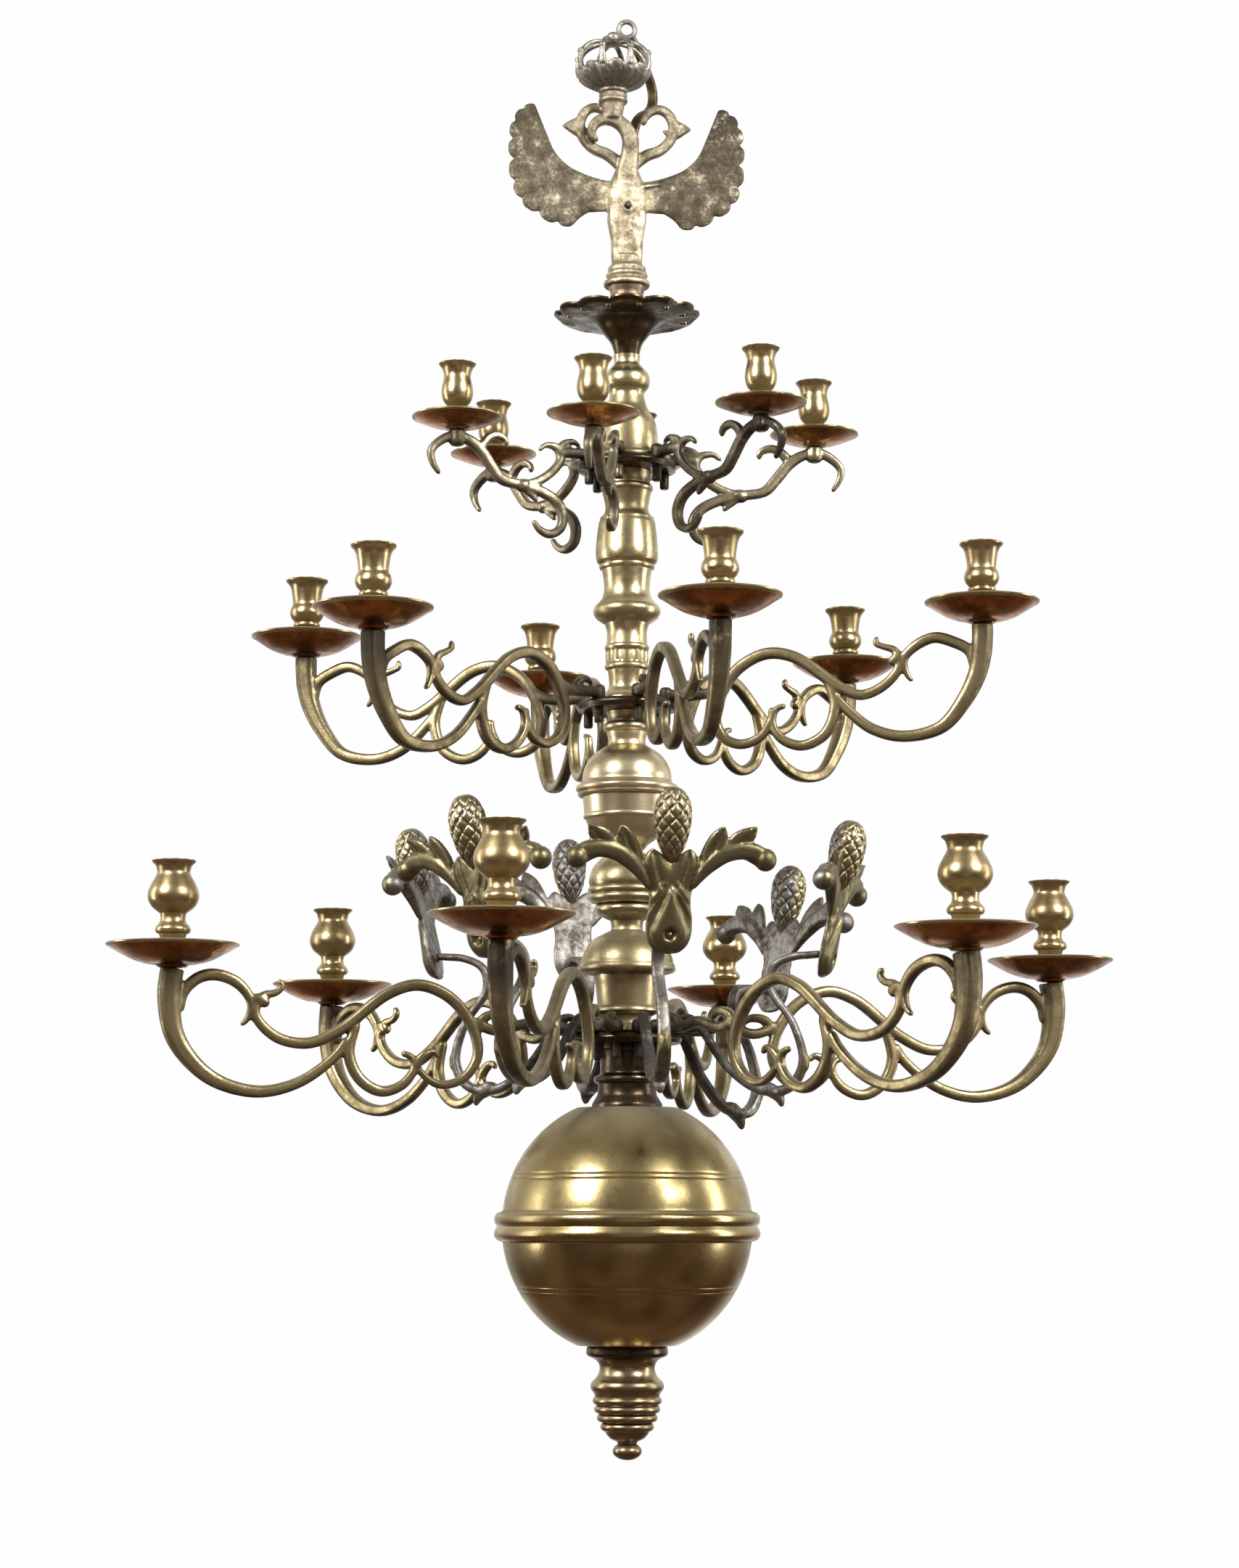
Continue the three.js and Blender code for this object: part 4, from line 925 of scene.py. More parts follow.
for tier, sizes in TIERS.items():
    arm_points, arm_faces = cast(sizes["parts"], sizes["voxel"])
    cup_points, cup_faces = cup_mesh(tier)
    post_x = sizes["reach"] - PEG_CIRCLE
    # The top of each post gets a painted shadow of the pan with tarnish, and the arm near the hub gets
    # grime and painted shade.
    on_post = np.clip((arm_points[:, 0] - post_x + 24) / 14, 0, 1)
    under_cup = on_post * np.clip((arm_points[:, 2] - sizes["post_top"] + 62) / 50, 0, 1)
    near_hub = grime_and_shade_near_hub(arm_points, sizes["hub_reach"])
    for k in range(6):
        place = (sizes["turn"] + 60 * k, sizes["swings"][k], sizes["plate_top"])
        sag, out = sizes["sags"][k], sizes["outs"][k]
        body = f"{tier}_branch_{k + 1}"
        piece(
            f"{tier}_arm_casting_{k + 1}", stood(bent(arm_points, post_x, sag, out), *place), arm_faces,
            [sizes["finish"]], body, [f"{tier}_arm_{k + 1}"], crease=70,
            stain_and_shade=np.maximum(sizes["overall_darkening"][k] + sizes["post_shadow_and_tarnish"] * under_cup, near_hub),
        )
        raised = cup_points + [post_x + out, 0, sizes["rim"] - sizes["plate_top"] + sag]
        piece(
            f"{tier}_cup_turning_{k + 1}", stood(raised, *place), cup_faces, [cup_brass, pan_bloom],
            body, [f"{tier}_candle_cup_{k + 1}"], pick=underside,
        )

# Leaf ornaments
# Six castings stand on pegs between the lower arms: a spray of leaves with two rolled tips, a pinecone
# above it and a scrolled bracket behind. The leaves are olive brass in front, the cones a paler brass,
# and the backs have gone grey.
# Painted shade darkens the undersides of the leaf brass and of the grey patina wherever it is used.
leaf_brass = metal(
    "leaf_brass", (0.25, 0.215, 0.115), (0.105, 0.087, 0.045), (0.03, 0.022, 0.013), 0.3, stained_and_shaded=True,
    cloud_scale=24, tarnish_amount=0.75, dirt_amount=0.95, smooth=0.36, dull=0.52, underside=0.5, dust=0.3,
)
cone_brass = metal(
    "cone_brass", (0.52, 0.45, 0.28), (0.22, 0.18, 0.09), (0.024, 0.018, 0.011), 0.3,
    cloud_scale=24, tarnish_amount=0.75, dirt_amount=0.95, smooth=0.29, dull=0.46,
)
grey_patina = metal(
    "grey_patina", (0.33, 0.315, 0.285), (0.12, 0.092, 0.068), (0.03, 0.024, 0.02), 0.5, stained_and_shaded=True,
    cloud_scale=48, tarnish_amount=0.95, dirt_amount=0.95, smooth=0.34, dull=0.6, hollow_size=0.01,
    underside=0.4, dust=0.3,
)
ORNAMENT_RADIUS = 166
ORNAMENT_TURN = 16
ORNAMENT_SWINGS = [-6, 0, -6, 0, 0, 1.5]
ORNAMENT_SAGS = [0, -10, -30, 0, -6, 0]
LEAF_FOOT = 55
LEAF_LEAN = math.radians(12)
RIVET_HEIGHT = 16
SPRAY_RISE = 1.05
SPRAY_HUB_REACH = 100
OLIVE, GREY, PALE = 0, 1, 2


def distance_to(points, line, closed=False):
    """Distance of each point from a line through the given places."""
    places = np.array(line, float)
    ends = np.roll(places, -1, axis=0) if closed else places[1:]
    nearest = np.full(len(points), 1e9)
    for a, b in zip(places, ends):
        along = b - a
        share = np.clip((points - a) @ along / (along @ along), 0, 1)
        nearest = np.minimum(nearest, np.linalg.norm(points - a - share[:, None] * along, axis=1))
    return nearest


def lies_inside(points, outline):
    """Which points lie inside a closed outline, by the times a level line from each crosses it."""
    crossings = np.zeros(len(points), int)
    for (ax, az), (bx, bz) in zip(outline, np.roll(outline, -1, axis=0)):
        between = (az > points[:, 1]) != (bz > points[:, 1])
        reach = ax + (points[:, 1] - az) * (bx - ax) / ((bz - az) or 1e-9)
        crossings += between & (points[:, 0] < reach)
    return crossings % 2 == 1


def carved_plate(outline, front, back, spacing=1.6):
    """A plate in the x, z plane with carved faces, front towards -y. front and back give the
    heights of the faces for places on the plate and their distances from its edge."""
    edge = np.array(outline)
    low, high = edge.min(axis=0), edge.max(axis=0)
    grid = np.array([
        (x + (row % 2) * spacing / 2, z)
        for row, z in enumerate(np.arange(low[1], high[1], spacing * 0.87))
        for x in np.arange(low[0], high[0], spacing)
    ])
    grid = grid[lies_inside(grid, edge) & (distance_to(grid, edge, closed=True) > spacing * 0.6)]
    count = len(edge)
    whole = [Vector(place) for place in np.concatenate([edge, grid])]
    rim = [(k, (k + 1) % count) for k in range(count)]
    found = delaunay_2d_cdt(whole, rim, [], 1, 1e-5)
    places, sides = np.array([tuple(place) for place in found[0]]), found[2]
    depth = distance_to(places, edge, closed=True)
    ahead, behind = front(places, depth), back(places, depth)
    vertices = np.concatenate([
        np.column_stack([places[:, 0], -ahead, places[:, 1]]),
        np.column_stack([places[:, 0], behind, places[:, 1]]),
    ])
    first_back = len(places)
    faces, open_edges = [], set()
    for a, b, c in sides:
        ab, ac = places[b] - places[a], places[c] - places[a]
        if ab[0] * ac[1] - ab[1] * ac[0] < 0:
            b, c = c, b
        faces += [(a, b, c), (first_back + a, first_back + c, first_back + b)]
        for step in ((a, b), (b, c), (c, a)):
            if step[::-1] in open_edges:
                open_edges.remove(step[::-1])
            else:
                open_edges.add(step)
    faces += [(b, a, first_back + a, first_back + b) for a, b in sorted(open_edges)]
    return vertices, faces


def bead(centre, radius, depth):
    """A round bead at x, y, z, drawn out along y."""
    runs = [[(0, -1), (0.5, -0.87), (0.87, -0.5), (1, 0), (0.87, 0.5), (0.5, 0.87), (0, 1)]]
    vertices, faces = turned(runs, segments=20, spacing=0.25)
    return vertices[:, [1, 2, 0]] * [radius, depth, radius] + centre, faces


leaf_side = [
    [
        (0, 0), (9, 1.6), (15.6, 7.6), (18.6, 17), (18.4, 27), (16.8, 37), (17, 45), (20, 55), (26, 64.5),
        (36, 71.5), (47, 74), (58, 73), (66, 69.5), (72, 66),
    ],
    [(79, 70)], [(77, 77), (71, 82.5), (64, 84.5)], [(67.2, 90), (68.5, 98.5)],
    [(60, 97.5), (51, 94), (44.5, 88)], [(44.2, 93), (41.5, 98.8)], [(34, 94.5), (27.5, 86), (22, 72.5)],
    [(19.5, 77), (15, 80.5)], [(7.5, 76), (0, 69)],
]
leaf_edge = [tuple(place) for place in outline_of(leaf_side, 1.6)]
leaf_edge += [(-u, w) for u, w in leaf_edge[-2:0:-1]]
LEAF_VEINS = [
    [(26, 58), (44, 75), (55, 84), (65, 95)], [(22, 56), (30, 72), (35, 84), (40, 95)],
    [(7, 52), (11, 64), (14, 77)], [(20, 52), (33, 65), (50, 79), (63, 84)], [(14, 48), (20, 60), (23, 73)],
]
LEAF_RIDGES = [
    [(0, 51), (8, 44), (19, 27)], [(5, 54), (11, 46), (18, 38)], [(15, 80.5), (7.5, 76), (0, 69.5)],
]


def leaf_curl(places):
    """How far the tips of the leaves roll forwards."""
    return 5 * np.clip((places[:, 1] - 74) / 26, 0, 1) ** 2


def leaf_front(places, depth):
    """Relief of the leaves: veins cut in, ridges, a raised drop in the middle and the rivet's seat."""
    across, up = np.abs(places[:, 0]), places[:, 1]
    one_side = np.column_stack([across, up])
    height = 0.8 + 3.2 * (1 - np.exp(-depth / 3))
    for vein in LEAF_VEINS:
        height -= 1.9 * np.exp(-(distance_to(one_side, vein) / 1.5) ** 2)
    for ridge in LEAF_RIDGES:
        height += 1.3 * np.exp(-(distance_to(one_side, ridge) / 1.4) ** 2)
    rise = np.clip((up - 17) / 32, 0, 1)
    from_middle = np.hypot(across, up - 17 - 32 * rise) / (15.6 - 14.4 * rise)
    height += 4.6 * np.sqrt(np.clip(1 - from_middle**2, 0, 1))
    from_rivet = np.hypot(across, up - RIVET_HEIGHT)
    return height - 4.5 / (1 + np.exp((from_rivet - 4.3) * 3)) + leaf_curl(places)


def leaf_back(places, depth):
    """The rough, nearly flat back of the leaves."""
    grain = np.array([noise.noise(Vector((u * 0.13, 7.5, w * 0.13))) for u, w in places])
    return 2 + 0.5 * (1 - np.exp(-depth / 2)) + 0.5 * grain - leaf_curl(places)


def leaned(vertices):
    """Moves points from the leaf's own frame to the ornament's, x outwards from the peg."""
    forward, up = -vertices[:, 1], vertices[:, 2]
    c, s = math.cos(LEAF_LEAN), math.sin(LEAF_LEAN)
    outwards = ORNAMENT_RADIUS - PEG_CIRCLE + forward * c + up * s
    return np.column_stack([outwards, vertices[:, 0], LEAF_FOOT - forward * s + up * c])


def cone_scales(angle, radius, height):
    """Diamond scales of the pinecone, between two sets of spiral grooves."""
    fade = max(0, min(1, (height - 72) / 6, (126 - height) / 4))
    rising = abs(math.sin(4 * angle + 0.27 * height))
    falling = abs(math.sin(4 * angle - 0.27 * height))
    return radius + 0.4 - 1.9 * fade * (1 - min(rising, falling)) ** 3, height


spray = [carved_plate(leaf_edge, leaf_front, leaf_back)]
for side in (1, -1):
    arm_points, arm_faces = swept(
        [(17, 50), (28, 65), (41, 75.5), (55, 79.5), (67, 78.5), (75, 73.5)],
        [(2, 2.4), (4.6, 4), (6.4, 5.6), (6.6, 6.2), (6.8, 6.6), (7, 6.8)], around=18,
    )
    spray.append((arm_points * [side, 1, 1], arm_faces if side > 0 else [face[::-1] for face in arm_faces]))
    spray.append(bead((76 * side, -1, 73), 9, 9.2))
spray = [(leaned(vertices * [1, 1, SPRAY_RISE]), faces) for vertices, faces in spray]
spray += [
    swept(
        [
            (28, 8), (54, -26), (80, -41), (104, -37), (116, -16), (108, 16), (89, 44), (92, 62), (109, 72),
            (133, 75),
        ],
        [
            (3.6, 4.6), (3.8, 5.2), (4, 6.4), (4.2, 6.6), (3.8, 6), (3.4, 5.4), (3.2, 5), (3.2, 5.4),
            (3.2, 6), (3, 6.4),
        ],
    ),
    swept(
        [(80, -38), (88, -40), (94, -44), (97, -49), (98, -54)],
        [(3.6, 5.6), (6, 7.2), (6, 6.8), (4, 4.6), (1.4, 1.8)], tips=(0.6, 0.3),
    ),
    swept([(112, -26), (118, -18), (120, -8)], [(3, 4.6), (3, 4.4), (1.2, 1.8)]),
    bead((92, -6.4, -42), 3, 2.2), *peg_parts([(30, 7), (20, 5)], (3.8, 4.6)),
]
spray_points, spray_faces = cast(spray, 1.2)
outwards = np.array([math.cos(LEAF_LEAN), 0, -math.sin(LEAF_LEAN)])
leaf_plane = leaned(np.zeros((1, 3)))[0] @ outwards
corners = spray_points[np.array(spray_faces)]
facing = np.cross(corners[:, 2] - corners[:, 0], corners[:, 3] - corners[:, 1])
towards = facing @ outwards > 0.1 * np.linalg.norm(facing, axis=1)
on_front = corners.mean(axis=1) @ outwards - leaf_plane > -0.8
spray_finish = [OLIVE if brass else GREY for brass in towards & on_front]
cone_points, cone_faces = turned(
    [
        [
            (0, 69), (4.6, 73), (9.2, 80), (12.8, 90), (14.6, 100), (14.9, 108), (13.4, 116), (9.4, 122.6),
            (4.6, 126.2), (0, 127),
        ],
    ],
    segments=112, spacing=1, shape=cone_scales,
)
rivet_points, rivet_faces = bead((0, -4.6, RIVET_HEIGHT), 2.7, 1.8)
cone_depths = [cone_points[list(face), 1].mean() for face in cone_faces]
spray_finish += [GREY if depth > 4 else PALE for depth in cone_depths] + [OLIVE] * len(rivet_faces)
spray_points, spray_faces = together([
    (spray_points, spray_faces), (leaned(cone_points * [1, 1, SPRAY_RISE]), cone_faces),
    (leaned(rivet_points), rivet_faces),
])
# Grime and painted shade near the hub darken the inner part of each spray.
spray_hub_grime_and_shade = grime_and_shade_near_hub(spray_points, SPRAY_HUB_REACH)
for k in range(6):
    bent_points = bent(spray_points, ORNAMENT_RADIUS - PEG_CIRCLE, ORNAMENT_SAGS[k], 0)
    place = (ORNAMENT_TURN + 60 * k, ORNAMENT_SWINGS[k], TIERS["lower"]["plate_top"])
    piece(
        f"leaf_spray_{k + 1}", stood(bent_points, *place), spray_faces,
        [leaf_brass, grey_patina, cone_brass], f"ornament_{k + 1}",
        [f"leaf_ornament_{k + 1}"], crease=60, pick=lambda mesh: spray_finish, stain_and_shade=spray_hub_grime_and_shade,
    )

# Arm plates
# Three cast discs, one under each tier, with a moulded rim. The pegs of the arms stand in round holes
# near the rim, twelve in the lowest plate and six in the others. All have gone nearly black.
PEG_HOLE_RADIUS = 4.7


def pierced(vertices, faces, cutters):
    """A closed mesh with the closed cutters taken out of it."""
    whole, tools = scratch_object(vertices, faces), scratch_object(*together(cutters))
    cut = whole.modifiers.new("holes", "BOOLEAN")
    cut.object = tools
    cut.operation = "DIFFERENCE"
    cut.solver = "MANIFOLD"
    left = remade(whole)
    discard(tools)
    return left


def peg_hole(spoke, circle, radius, bottom, top):
    """A round cutter that stands on a circle round the stem, at an angle from the front."""
    way = math.radians(spoke - 90)
    cutter = turned([[(0, bottom), (radius, bottom)], [(radius, top)], [(0, top)]], segments=32, spacing=50)
    return moved(cutter, circle * math.cos(way), circle * math.sin(way), 0)


for tier, plate_radius, hole_turns in [
    ("lower", 46, (TIERS["lower"]["turn"], ORNAMENT_TURN)),
    ("middle", 43, (TIERS["middle"]["turn"],)),
    ("top", 43, (TIERS["top"]["turn"],)),
]:
    high = TIERS[tier]["plate_top"]
    low = high - PLATE_THICKNESS
    plate_points, plate_faces = turned(
        [
            [(ROD_BORE, low), (plate_radius - 3, low)],
            [(plate_radius - 1.2, low + 0.6), (plate_radius - 0.8, low + 2)],
            [(plate_radius, low + 3.6), (plate_radius, low + 5), (plate_radius - 0.7, low + 6.2)],
            [(plate_radius - 1.6, low + 7.4), (plate_radius - 3, high)], [(ROD_BORE, high)],
            [(ROD_BORE, low)],
        ],
        segments=120, spacing=4,
    )
    holes = [
        peg_hole(first + 60 * k, PEG_CIRCLE, PEG_HOLE_RADIUS, low - 1, high + 1)
        for first in hole_turns for k in range(6)
    ]
    plate_points, plate_faces = pierced(plate_points, plate_faces, holes)
    piece(
        f"{tier}_arm_plate_casting", on_stem(plate_points), plate_faces, [dark_bronze],
        "stem", [f"{tier}_arm_plate"],
    )

# Rod and cross pin
# The iron rod carries the whole stack, and the pin ties it to the eagle and the hanger.
# Both are forged, with a dark scaly skin.
wrought_iron = metal(
    "wrought_iron", (0.16, 0.14, 0.12), (0.06, 0.048, 0.040), (0.02, 0.016, 0.014), 0.6,
    cloud_scale=40, tarnish_amount=0.8, dirt_amount=0.7, smooth=0.4, dull=0.7,
)
for node_name in ("centre_rod", "eagle_cross_pin"):
    nodes[node_name].material_slots[0].material = wrought_iron

# Top dish
# A dark bronze funnel opens into a thin scalloped flange, pierced near its rim, whose underside is grey.
# A short tulip neck of brass stands on it and carries the eagle.
dull_bronze = metal(
    "dull_bronze", (0.36, 0.275, 0.19), (0.18, 0.125, 0.085), (0.04, 0.028, 0.02), 0.3,
    cloud_scale=30, tarnish_amount=0.8, dirt_amount=0.8, smooth=0.32, dull=0.52,
)
DISH_FOOT = 743.3
DISH_LOBES = 12
DISH_HOLE_CIRCLE = 51
DISH_HOLE_RADIUS = 3.6
NECK_FOOT = 34.5
NECK_REACH = 23.5
FLANGE_REACH = 33
dish_runs = [
    [(ROD_BORE, 0), (10.6, 0)],
    [(11.4, 4), (13.9, 11), (18, 16.6), (21.8, 21.4), (25.2, 26.6), (28.8, 29.6), (33.6, 31)],
    [(42, 31.4), (52, 32.2), (60, 34), (62.8, 36.6)], [(62.6, 38.2), (60.6, 38)],
    [(52, 35.4), (40, 33.8), (27, 33.4)], [(24, 34.6), (23, 37.6)], [(19, 40), (16.6, 45), (14.6, 51)],
    [(14.2, 54), (15, 57), (16, 60.4)], [(ROD_BORE, 60.4)], [(ROD_BORE, 0)],
]


def scalloped_rim(angle, radius, height):
    """Lobes round the flange, each dished a little, deepest at the rim."""
    share = max(0, (radius - 34) / 29)
    lobe = abs(math.cos(DISH_LOBES * angle / 2))
    return radius - 4.5 * share**3 * (1 - lobe) ** 1.5, height - 1.6 * share * (1 - lobe)


dish_points, dish_faces = turned(dish_runs, segments=180, spacing=1.8, shape=scalloped_rim)
dish_holes = [
    peg_hole(360 * k / DISH_LOBES + 12, DISH_HOLE_CIRCLE, DISH_HOLE_RADIUS, 20, 50)
    for k in range(DISH_LOBES)
]
dish_points, dish_faces = pierced(dish_points, dish_faces, dish_holes)


def dish_finish(mesh):
    """0 for the dark funnel and the flange's top, 1 for its grey underside, 2 for the brass neck."""
    foot = (DISH_FOOT - EYE_ABOVE_EQUATOR) * MM
    kinds = []
    for p in mesh.polygons:
        radius = p.center.xy.length
        neck = p.center.z - foot > NECK_FOOT * MM and radius < NECK_REACH * MM
        flange_below = p.normal.z < -0.3 and radius > FLANGE_REACH * MM
        greyed = p.center.x + 0.4 * p.center.y + 0.03 * noise.noise(p.center * 40) > 0.018
        kinds.append(2 if neck else int(flange_below and greyed))
    return kinds


piece(
    "top_dish_turning", on_stem(dish_points + [0, 0, DISH_FOOT]), dish_faces,
    [dark_bronze, grey_patina, dull_bronze], "stem", ["top_dish"], pick=dish_finish,
)

# Eagle
# One casting with a ringed foot, two legs, spread wings with scalloped feathers, two side necks that
# loop into beaked heads, and a middle neck bent forwards to carry the crown. Its pale patina has gone
# dark on the wings and the necks, and a dark round marks the end of the cross pin.
# Painted shade darkens the undersides of the eagle patina.
eagle_patina = metal(
    "eagle_patina", (0.65, 0.57, 0.4), (0.2, 0.15, 0.085), (0.045, 0.033, 0.019), 0.55, stained_and_shaded=True,
    cloud_scale=80, tarnish_amount=0.85, dirt_amount=0.95, smooth=0.33, dull=0.56, hollow_size=0.01,
    underside=0.5,
)
EAGLE_FOOT = 804
EAGLE_TURN = math.radians(6)
CROWN_PLACE = (-13, -10, 169.3)
FEATHER_BULGE = 0.26
FEATHER_ROUND = [(0.2, 0.78), (0.5, 1), (0.8, 0.78)]
SHOULDER = (22, 84)
PIN_LEVEL = 70
PIN_ROUND = 3.2


def on_eagle(vertices):
    """Points of the eagle, wings along x and front towards -y, moved to the frame."""
    return turned_by(vertices, EAGLE_TURN) + [0, 0, EAGLE_FOOT - EYE_ABOVE_EQUATOR]


def mirrored(part):
    """The same part on the eagle's other side."""
    vertices, faces = part
    return np.asarray(vertices) * [-1, 1, 1], [face[::-1] for face in faces]


feather_notches = [
    (80, 160.5), (90, 157), (97, 146), (99, 130), (98, 112), (97, 92), (91, 77), (76, 66), (60, 57),
    (46, 55),
]
wing_edge_runs = [
    [(4, 93), (20, 95), (36, 99.5), (52, 107.5), (63, 119.5), (69, 133), (75, 148), (80, 160.5)],
]
for start, end in zip(np.array(feather_notches), np.array(feather_notches[1:])):
    span = end - start
    outwards = np.array([-span[1], span[0]]) * FEATHER_BULGE
    wing_edge_runs.append([*[start + span * share + outwards * rise for share, rise in FEATHER_ROUND], end])
wing_edge_runs += [[(41, 60.5), (33, 66)], [(24, 66.4), (14, 67.5), (4, 70)]]
wing_edge = [tuple(place) for place in outline_of(wing_edge_runs, 1.7)][::-1]


def wing_front(places, depth):
    """Feathers run from the shoulder to the scallops, with small scales over all of the wing."""
    height = 1 + 2.2 * (1 - np.exp(-depth / 4))
    for x, z in feather_notches[1:-1]:
        inner = (x + (52 - x) * 0.6, z + (98 - z) * 0.6)
        fade = np.exp(-np.hypot(places[:, 0] - x, places[:, 1] - z) / 22)
        height -= 0.45 * fade * np.exp(-(distance_to(places, [(x, z), inner]) / 1.5) ** 2)
    across, up = (places - SHOULDER).T
    row = np.hypot(across, up) / 6.2
    scale = np.abs(np.sin(np.arctan2(up, across) * 13 + (np.floor(row) % 2) * math.pi / 2))
    height += 0.35 * (row - np.floor(row)) * scale * np.clip(depth / 4, 0, 1)
    grain = np.array([noise.noise(Vector((x * 0.55, 3.1, z * 0.55))) for x, z in places])
    return height + 0.4 * grain


def wing_back(places, depth):
    """The smooth back of a wing."""
    return 1 + 1.6 * (1 - np.exp(-depth / 4))


wing = carved_plate(wing_edge, wing_front, wing_back, spacing=1.5)
side_neck = [
    (0, 103), (9, 112), (18, 118.4), (28, 122.4), (36, 129.6), (40.6, 139), (40, 148.6), (35.8, 156),
    (29, 159.6), (21.8, 158), (16.4, 152), (14, 145),
]
eagle_side = [
    wing,
    swept(
        [(5.4, 10), (6.2, 26), (6.4, 44), (7.2, 60), (7, 76)],
        [(6.6, 7), (7.2, 7.4), (7.6, 8.4), (9.8, 10), (9, 9)], around=20,
    ),
    swept(
        side_neck,
        [(6, 5.4), (5.2, 5.2), (4.7, 4.8), (4.6, 4.6), (4.5, 4.4), (4.2, 4.2), (3.8, 3.8), (2.2, 2.6)],
    ),
    swept(
        [(38, 142), (43, 142), (48, 142.4), (52, 142.6), (56.5, 142.6)],
        [(3, 3.4), (9, 4.6), (6.6, 4), (3.6, 3), (0.8, 1)], tips=(0.6, 0.4),
    ),
    swept([(41, 137), (36, 138.5), (31, 141)], [(2.8, 3), (2.4, 2.6), (0.9, 1.2)]),
]
eagle_foot = turned(
    [
        [(0, 0), (19.5, 0)], [(20.2, 2), (19.6, 4.4)], [(16.8, 5.8), (16.4, 7.2)],
        [(17.8, 8.6), (18.2, 10.4), (17.2, 12)], [(15.4, 13.2)], [(16.8, 15), (16.2, 17), (14.2, 18.6)],
        [(12.6, 22), (12, 27)], [(0, 27)],
    ],
    segments=48,
)
torso_points, torso_faces = turned(
    [[(0, 48), (9, 52), (14.6, 60), (18, 71), (17.2, 84), (13.4, 96), (8.6, 106), (0, 111)]], segments=40,
)
collar = turned(
    [
        [(0, 144), (7.6, 147)], [(8.6, 152), (10.2, 160)], [(12.6, 161.4), (12.8, 163.6), (11.4, 165)],
        [(12.4, 167), (12, 169)], [(0, 169)],
    ],
    segments=40,
)
crown_x, crown_y, crown_z = CROWN_PLACE


def forward(part):
    """The middle neck leans forwards from the breast up to the crown."""
    vertices, faces = part
    rise = np.clip((vertices[:, 2] - 80) / 58, 0, 1)
    return vertices + np.outer(rise * rise * (3 - 2 * rise), [0, crown_y + 1, 0]), faces


eagle_parts = [
    *eagle_side, *[mirrored(part) for part in eagle_side], eagle_foot,
    (torso_points * [1, 0.62, 1], torso_faces),
    swept([(0, 14), (0, 44), (0, 78)], [(7, 7.6), (7, 8.4), (10, 10)], around=20),
    forward(swept(
        [
            (0, 74), (-1, 90), (0, 104), (2, 118), (2, 130), (-3, 140), (-12, 146), (-22, 146.4),
            (-29.6, 141), (-31.4, 132), (-26, 127),
        ],
        [
            (9, 8), (10.4, 8.4), (9.4, 8.4), (8.2, 7.8), (7.6, 7), (7, 6.4), (6.2, 5.8), (5.6, 5.4),
            (4.8, 4.8), (4, 4.4), (2.2, 3),
        ],
        around=20,
    )),
    moved(collar, crown_x, crown_y, 0),
    moved(
        swept(
            [(-4, 116), (-6.4, 104), (-5, 93), (0, 84.5), (7, 87), (17, 89.5), (30, 92)],
            [(1.6, 2.6), (2.2, 4), (2.4, 5), (2.4, 5), (2.2, 4.2), (1.8, 2.6), (1.2, 1.2)],
        ),
        0, -3, 0,
    ),
]
eagle_points, eagle_faces = cast(eagle_parts, 1, smoothing=2)
rough_cast = np.clip((105 - eagle_points[:, 2]) / 15, 0.25, 1) * 0.7
eagle_points[:, 1] += rough_cast * [noise.noise(Vector(place) * 0.16) for place in eagle_points]
middles = eagle_points[np.array(eagle_faces)].mean(axis=1)
at_pin = [int(math.hypot(x, z - PIN_LEVEL) < PIN_ROUND and y < 0) for x, y, z in middles]
eagle_x, eagle_z = eagle_points[:, 0], eagle_points[:, 2]
wing_top = np.interp(np.abs(eagle_x), *np.array(wing_edge_runs[0]).T)
on_wing = np.clip((np.abs(eagle_x) - 17) / 12, 0, 1) * np.clip((wing_top + 5 - eagle_z) / 4, 0, 1)
wing_stain = on_wing * (0.76 + 0.14 * np.clip((eagle_z - 95) / 60, 0, 1) + 0.08 * (eagle_x > 0))
neck_stain = 0.45 * np.clip((eagle_z - 104) / 14, 0, 1) * (1 - on_wing)
piece(
    "eagle_casting", on_eagle(eagle_points), eagle_faces, [eagle_patina, dark_bronze], "stem",
    ["eagle"], crease=70, pick=lambda mesh: at_pin, stain_and_shade=wing_stain + neck_stain,
)

# Crown
# An openwork crown stands on the middle neck's collar. A leafy bowl carries eight arches, which meet
# under a small orb. It is cast brass with a grey patina of its own.
crown_patina = metal(
    "crown_patina", (0.42, 0.395, 0.335), (0.15, 0.125, 0.092), (0.03, 0.024, 0.018), 0.5,
    cloud_scale=60, tarnish_amount=0.85, dirt_amount=0.95, smooth=0.42, dull=0.62,
)
CROWN_ARCHES = 8


def leafy_bowl(angle, radius, height):
    """Leaves that stand up round the bowl, with a wavy rim."""
    share = max(0, min(1, (height - 2) / 20))
    leaf = math.cos(8 * angle)
    groove = abs(math.sin(8 * angle)) ** 6 + 0.5 * abs(math.cos(16 * angle + height * 0.5)) ** 4
    return (
        radius * (1 + 0.03 * leaf * share) - 1.5 * groove * min(1, height / 6), height + 1.8 * share * leaf,
    )


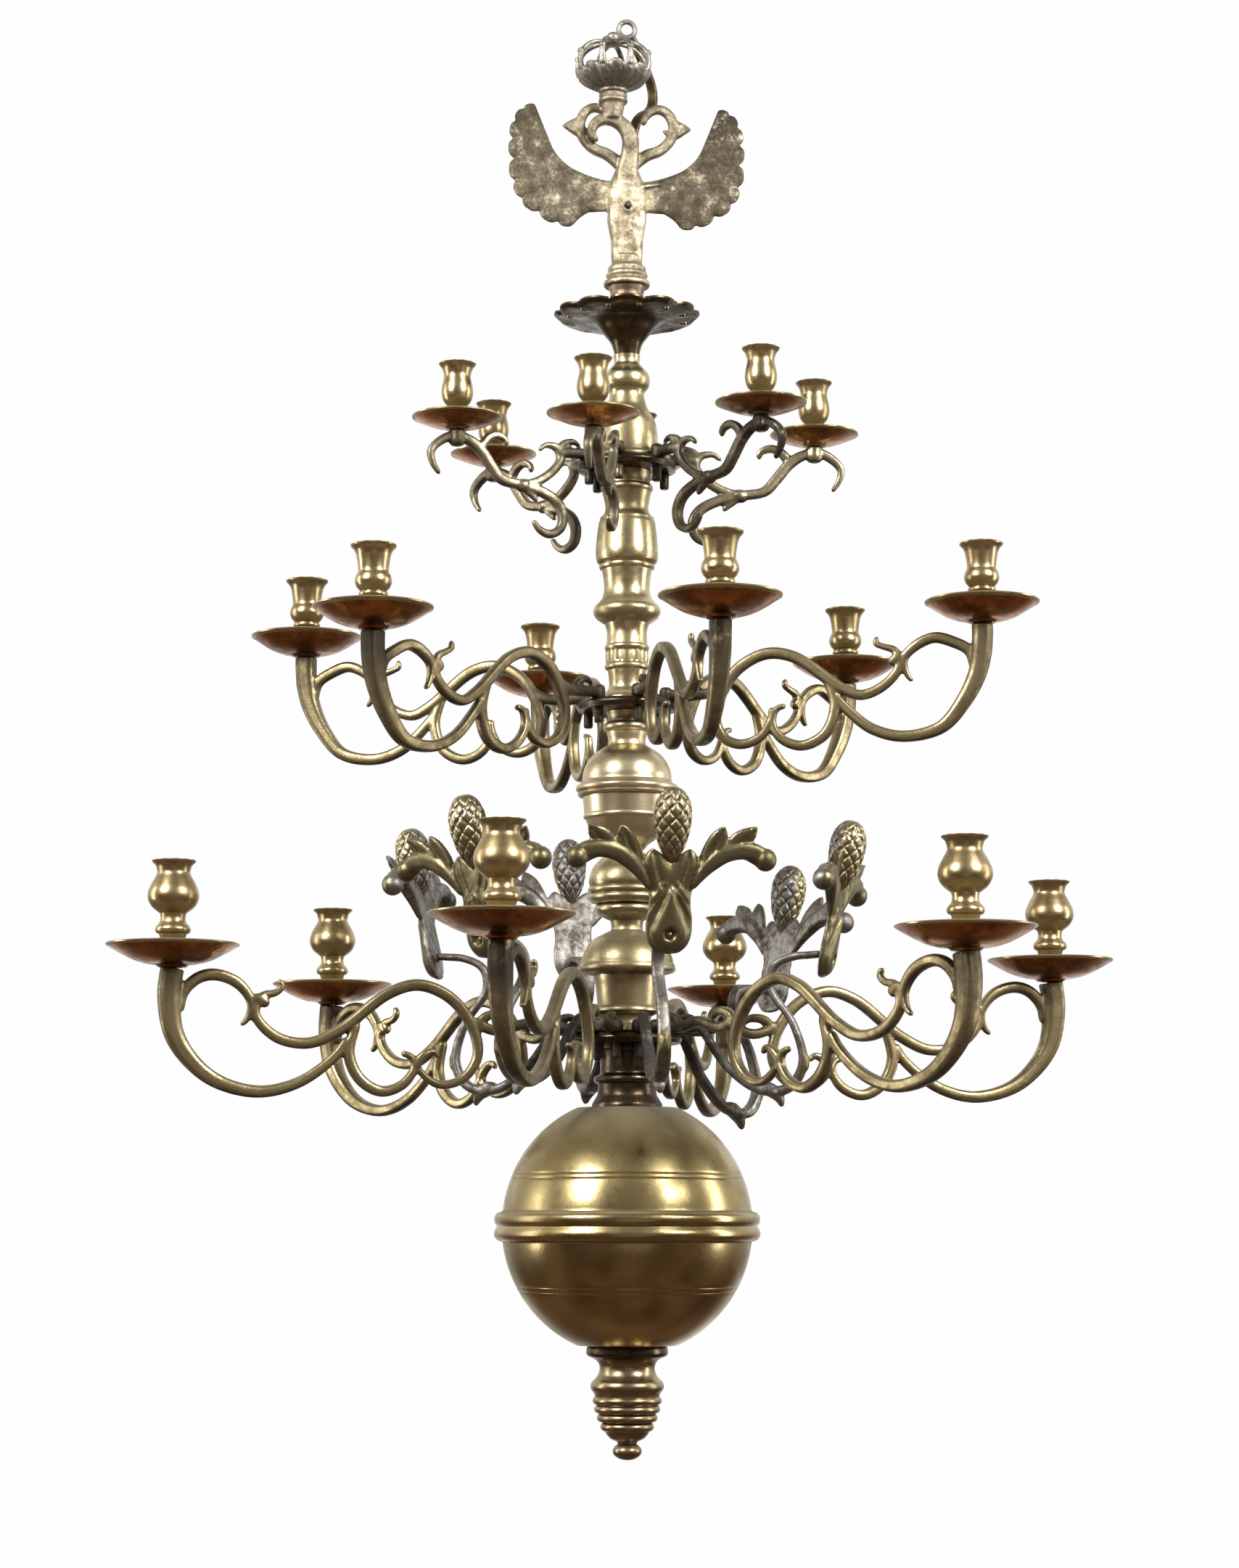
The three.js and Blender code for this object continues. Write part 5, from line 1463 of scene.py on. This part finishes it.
crown_bowl = turned(
    [
        [(0, 0), (11.6, 0)], [(12.8, 1.4), (12.4, 3)],
        [(18, 5.2), (25, 9), (30, 13.2), (32.2, 16.6), (32.6, 19.4)], [(31.4, 20.4), (29.8, 19.4)],
        [(26, 14), (19, 9), (11, 6), (0, 5.2)],
    ],
    segments=128, spacing=1.2, shape=leafy_bowl,
)
arch = swept(
    [(30.6, 16.6), (32, 24), (31, 32), (26.8, 38.8), (19.6, 43.6), (10, 45.6), (2.5, 45.2)],
    [(2.2, 3.6), (2.2, 2.6), (2, 2.3), (1.9, 2.2), (1.8, 2.2), (1.7, 2.2)],
)
arch_knob = bead((31.8, 0, 33.6), 2.8, 3.2)
crown_parts = [crown_bowl]
for k in range(CROWN_ARCHES):
    for points, sides in (arch, arch_knob):
        crown_parts.append((turned_by(points, 2 * math.pi * (k + 0.5) / CROWN_ARCHES), sides))
crown_parts.append(turned(
    [
        [(0, 42.6), (6.4, 43.4)], [(7.4, 45), (6.4, 46.8)], [(3, 47.4)],
        [(5.4, 49), (5.8, 51.4), (4.6, 53.8), (2, 55.4), (0, 55.8)],
    ],
    segments=32,
))
crown_points, crown_faces = cast(crown_parts, 0.9, smoothing=2)
crown_points = crown_points + list(CROWN_PLACE)
piece(
    "crown_casting", on_eagle(crown_points), crown_faces, [crown_patina], "stem",
    ["crown"], crease=70,
)

# Hanger
# A forged strap pinned behind the eagle rises beside the crown, swells out round it and ends in the
# round eye by which the chandelier hangs. It is iron with a warm brown skin, and the eye has gone grey.
brown_iron = metal(
    "brown_iron", (0.27, 0.193, 0.118), (0.095, 0.064, 0.039), (0.03, 0.022, 0.016), 0.5,
    cloud_scale=30, tarnish_amount=0.85, dirt_amount=0.7, smooth=0.34, dull=0.6,
)
EYE_HEIGHT = 231
GREY_ABOVE = 220
strap_points, strap_faces = swept(
    [
        (17.5, 50), (17.5, 84), (17.5, 120), (17.8, 146), (21.6, 156), (30, 163.4), (41, 169.4),
        (48.6, 177), (50.6, 186), (47.4, 195), (40, 203.4), (29, 213), (16, 221.6), (6.4, 228),
    ],
    [(2.6, 5.4), (2.6, 5.2), (2.6, 4.9), (2.7, 4.6), (2.8, 4.2), (2.9, 4)], power=4, around=20, tips=(1, 1),
)
rise = np.clip((strap_points[:, 2] - 100) / 65, 0, 1)
quarter = np.radians(90 - 33 * rise * rise * (3 - 2 * rise))
strap_points = turned_by(strap_points, quarter)
eye_points, eye_faces = turned(
    [
        [
            (9.4, 0), (8.9, 1.9), (7.1, 2.9), (5.5, 1.9), (4.9, 0), (5.5, -1.9), (7.1, -2.9), (8.9, -1.9),
            (9.4, 0),
        ],
    ],
    segments=48,
)
eye = moved((eye_points[:, [0, 2, 1]] * [1, -1, 1], eye_faces), 0, 0, EYE_HEIGHT)
hanger_parts = [(strap_points, strap_faces), eye]
hanger_points, hanger_faces = cast(hanger_parts, 0.9)
hanger_levels = hanger_points[np.array(hanger_faces)][:, :, 2].mean(axis=1)
piece(
    "hanger_forging", on_eagle(hanger_points), hanger_faces, [brown_iron, crown_patina], "stem",
    ["hanger"], crease=70,
    pick=lambda mesh: [int(level > GREY_ABOVE) for level in hanger_levels],
)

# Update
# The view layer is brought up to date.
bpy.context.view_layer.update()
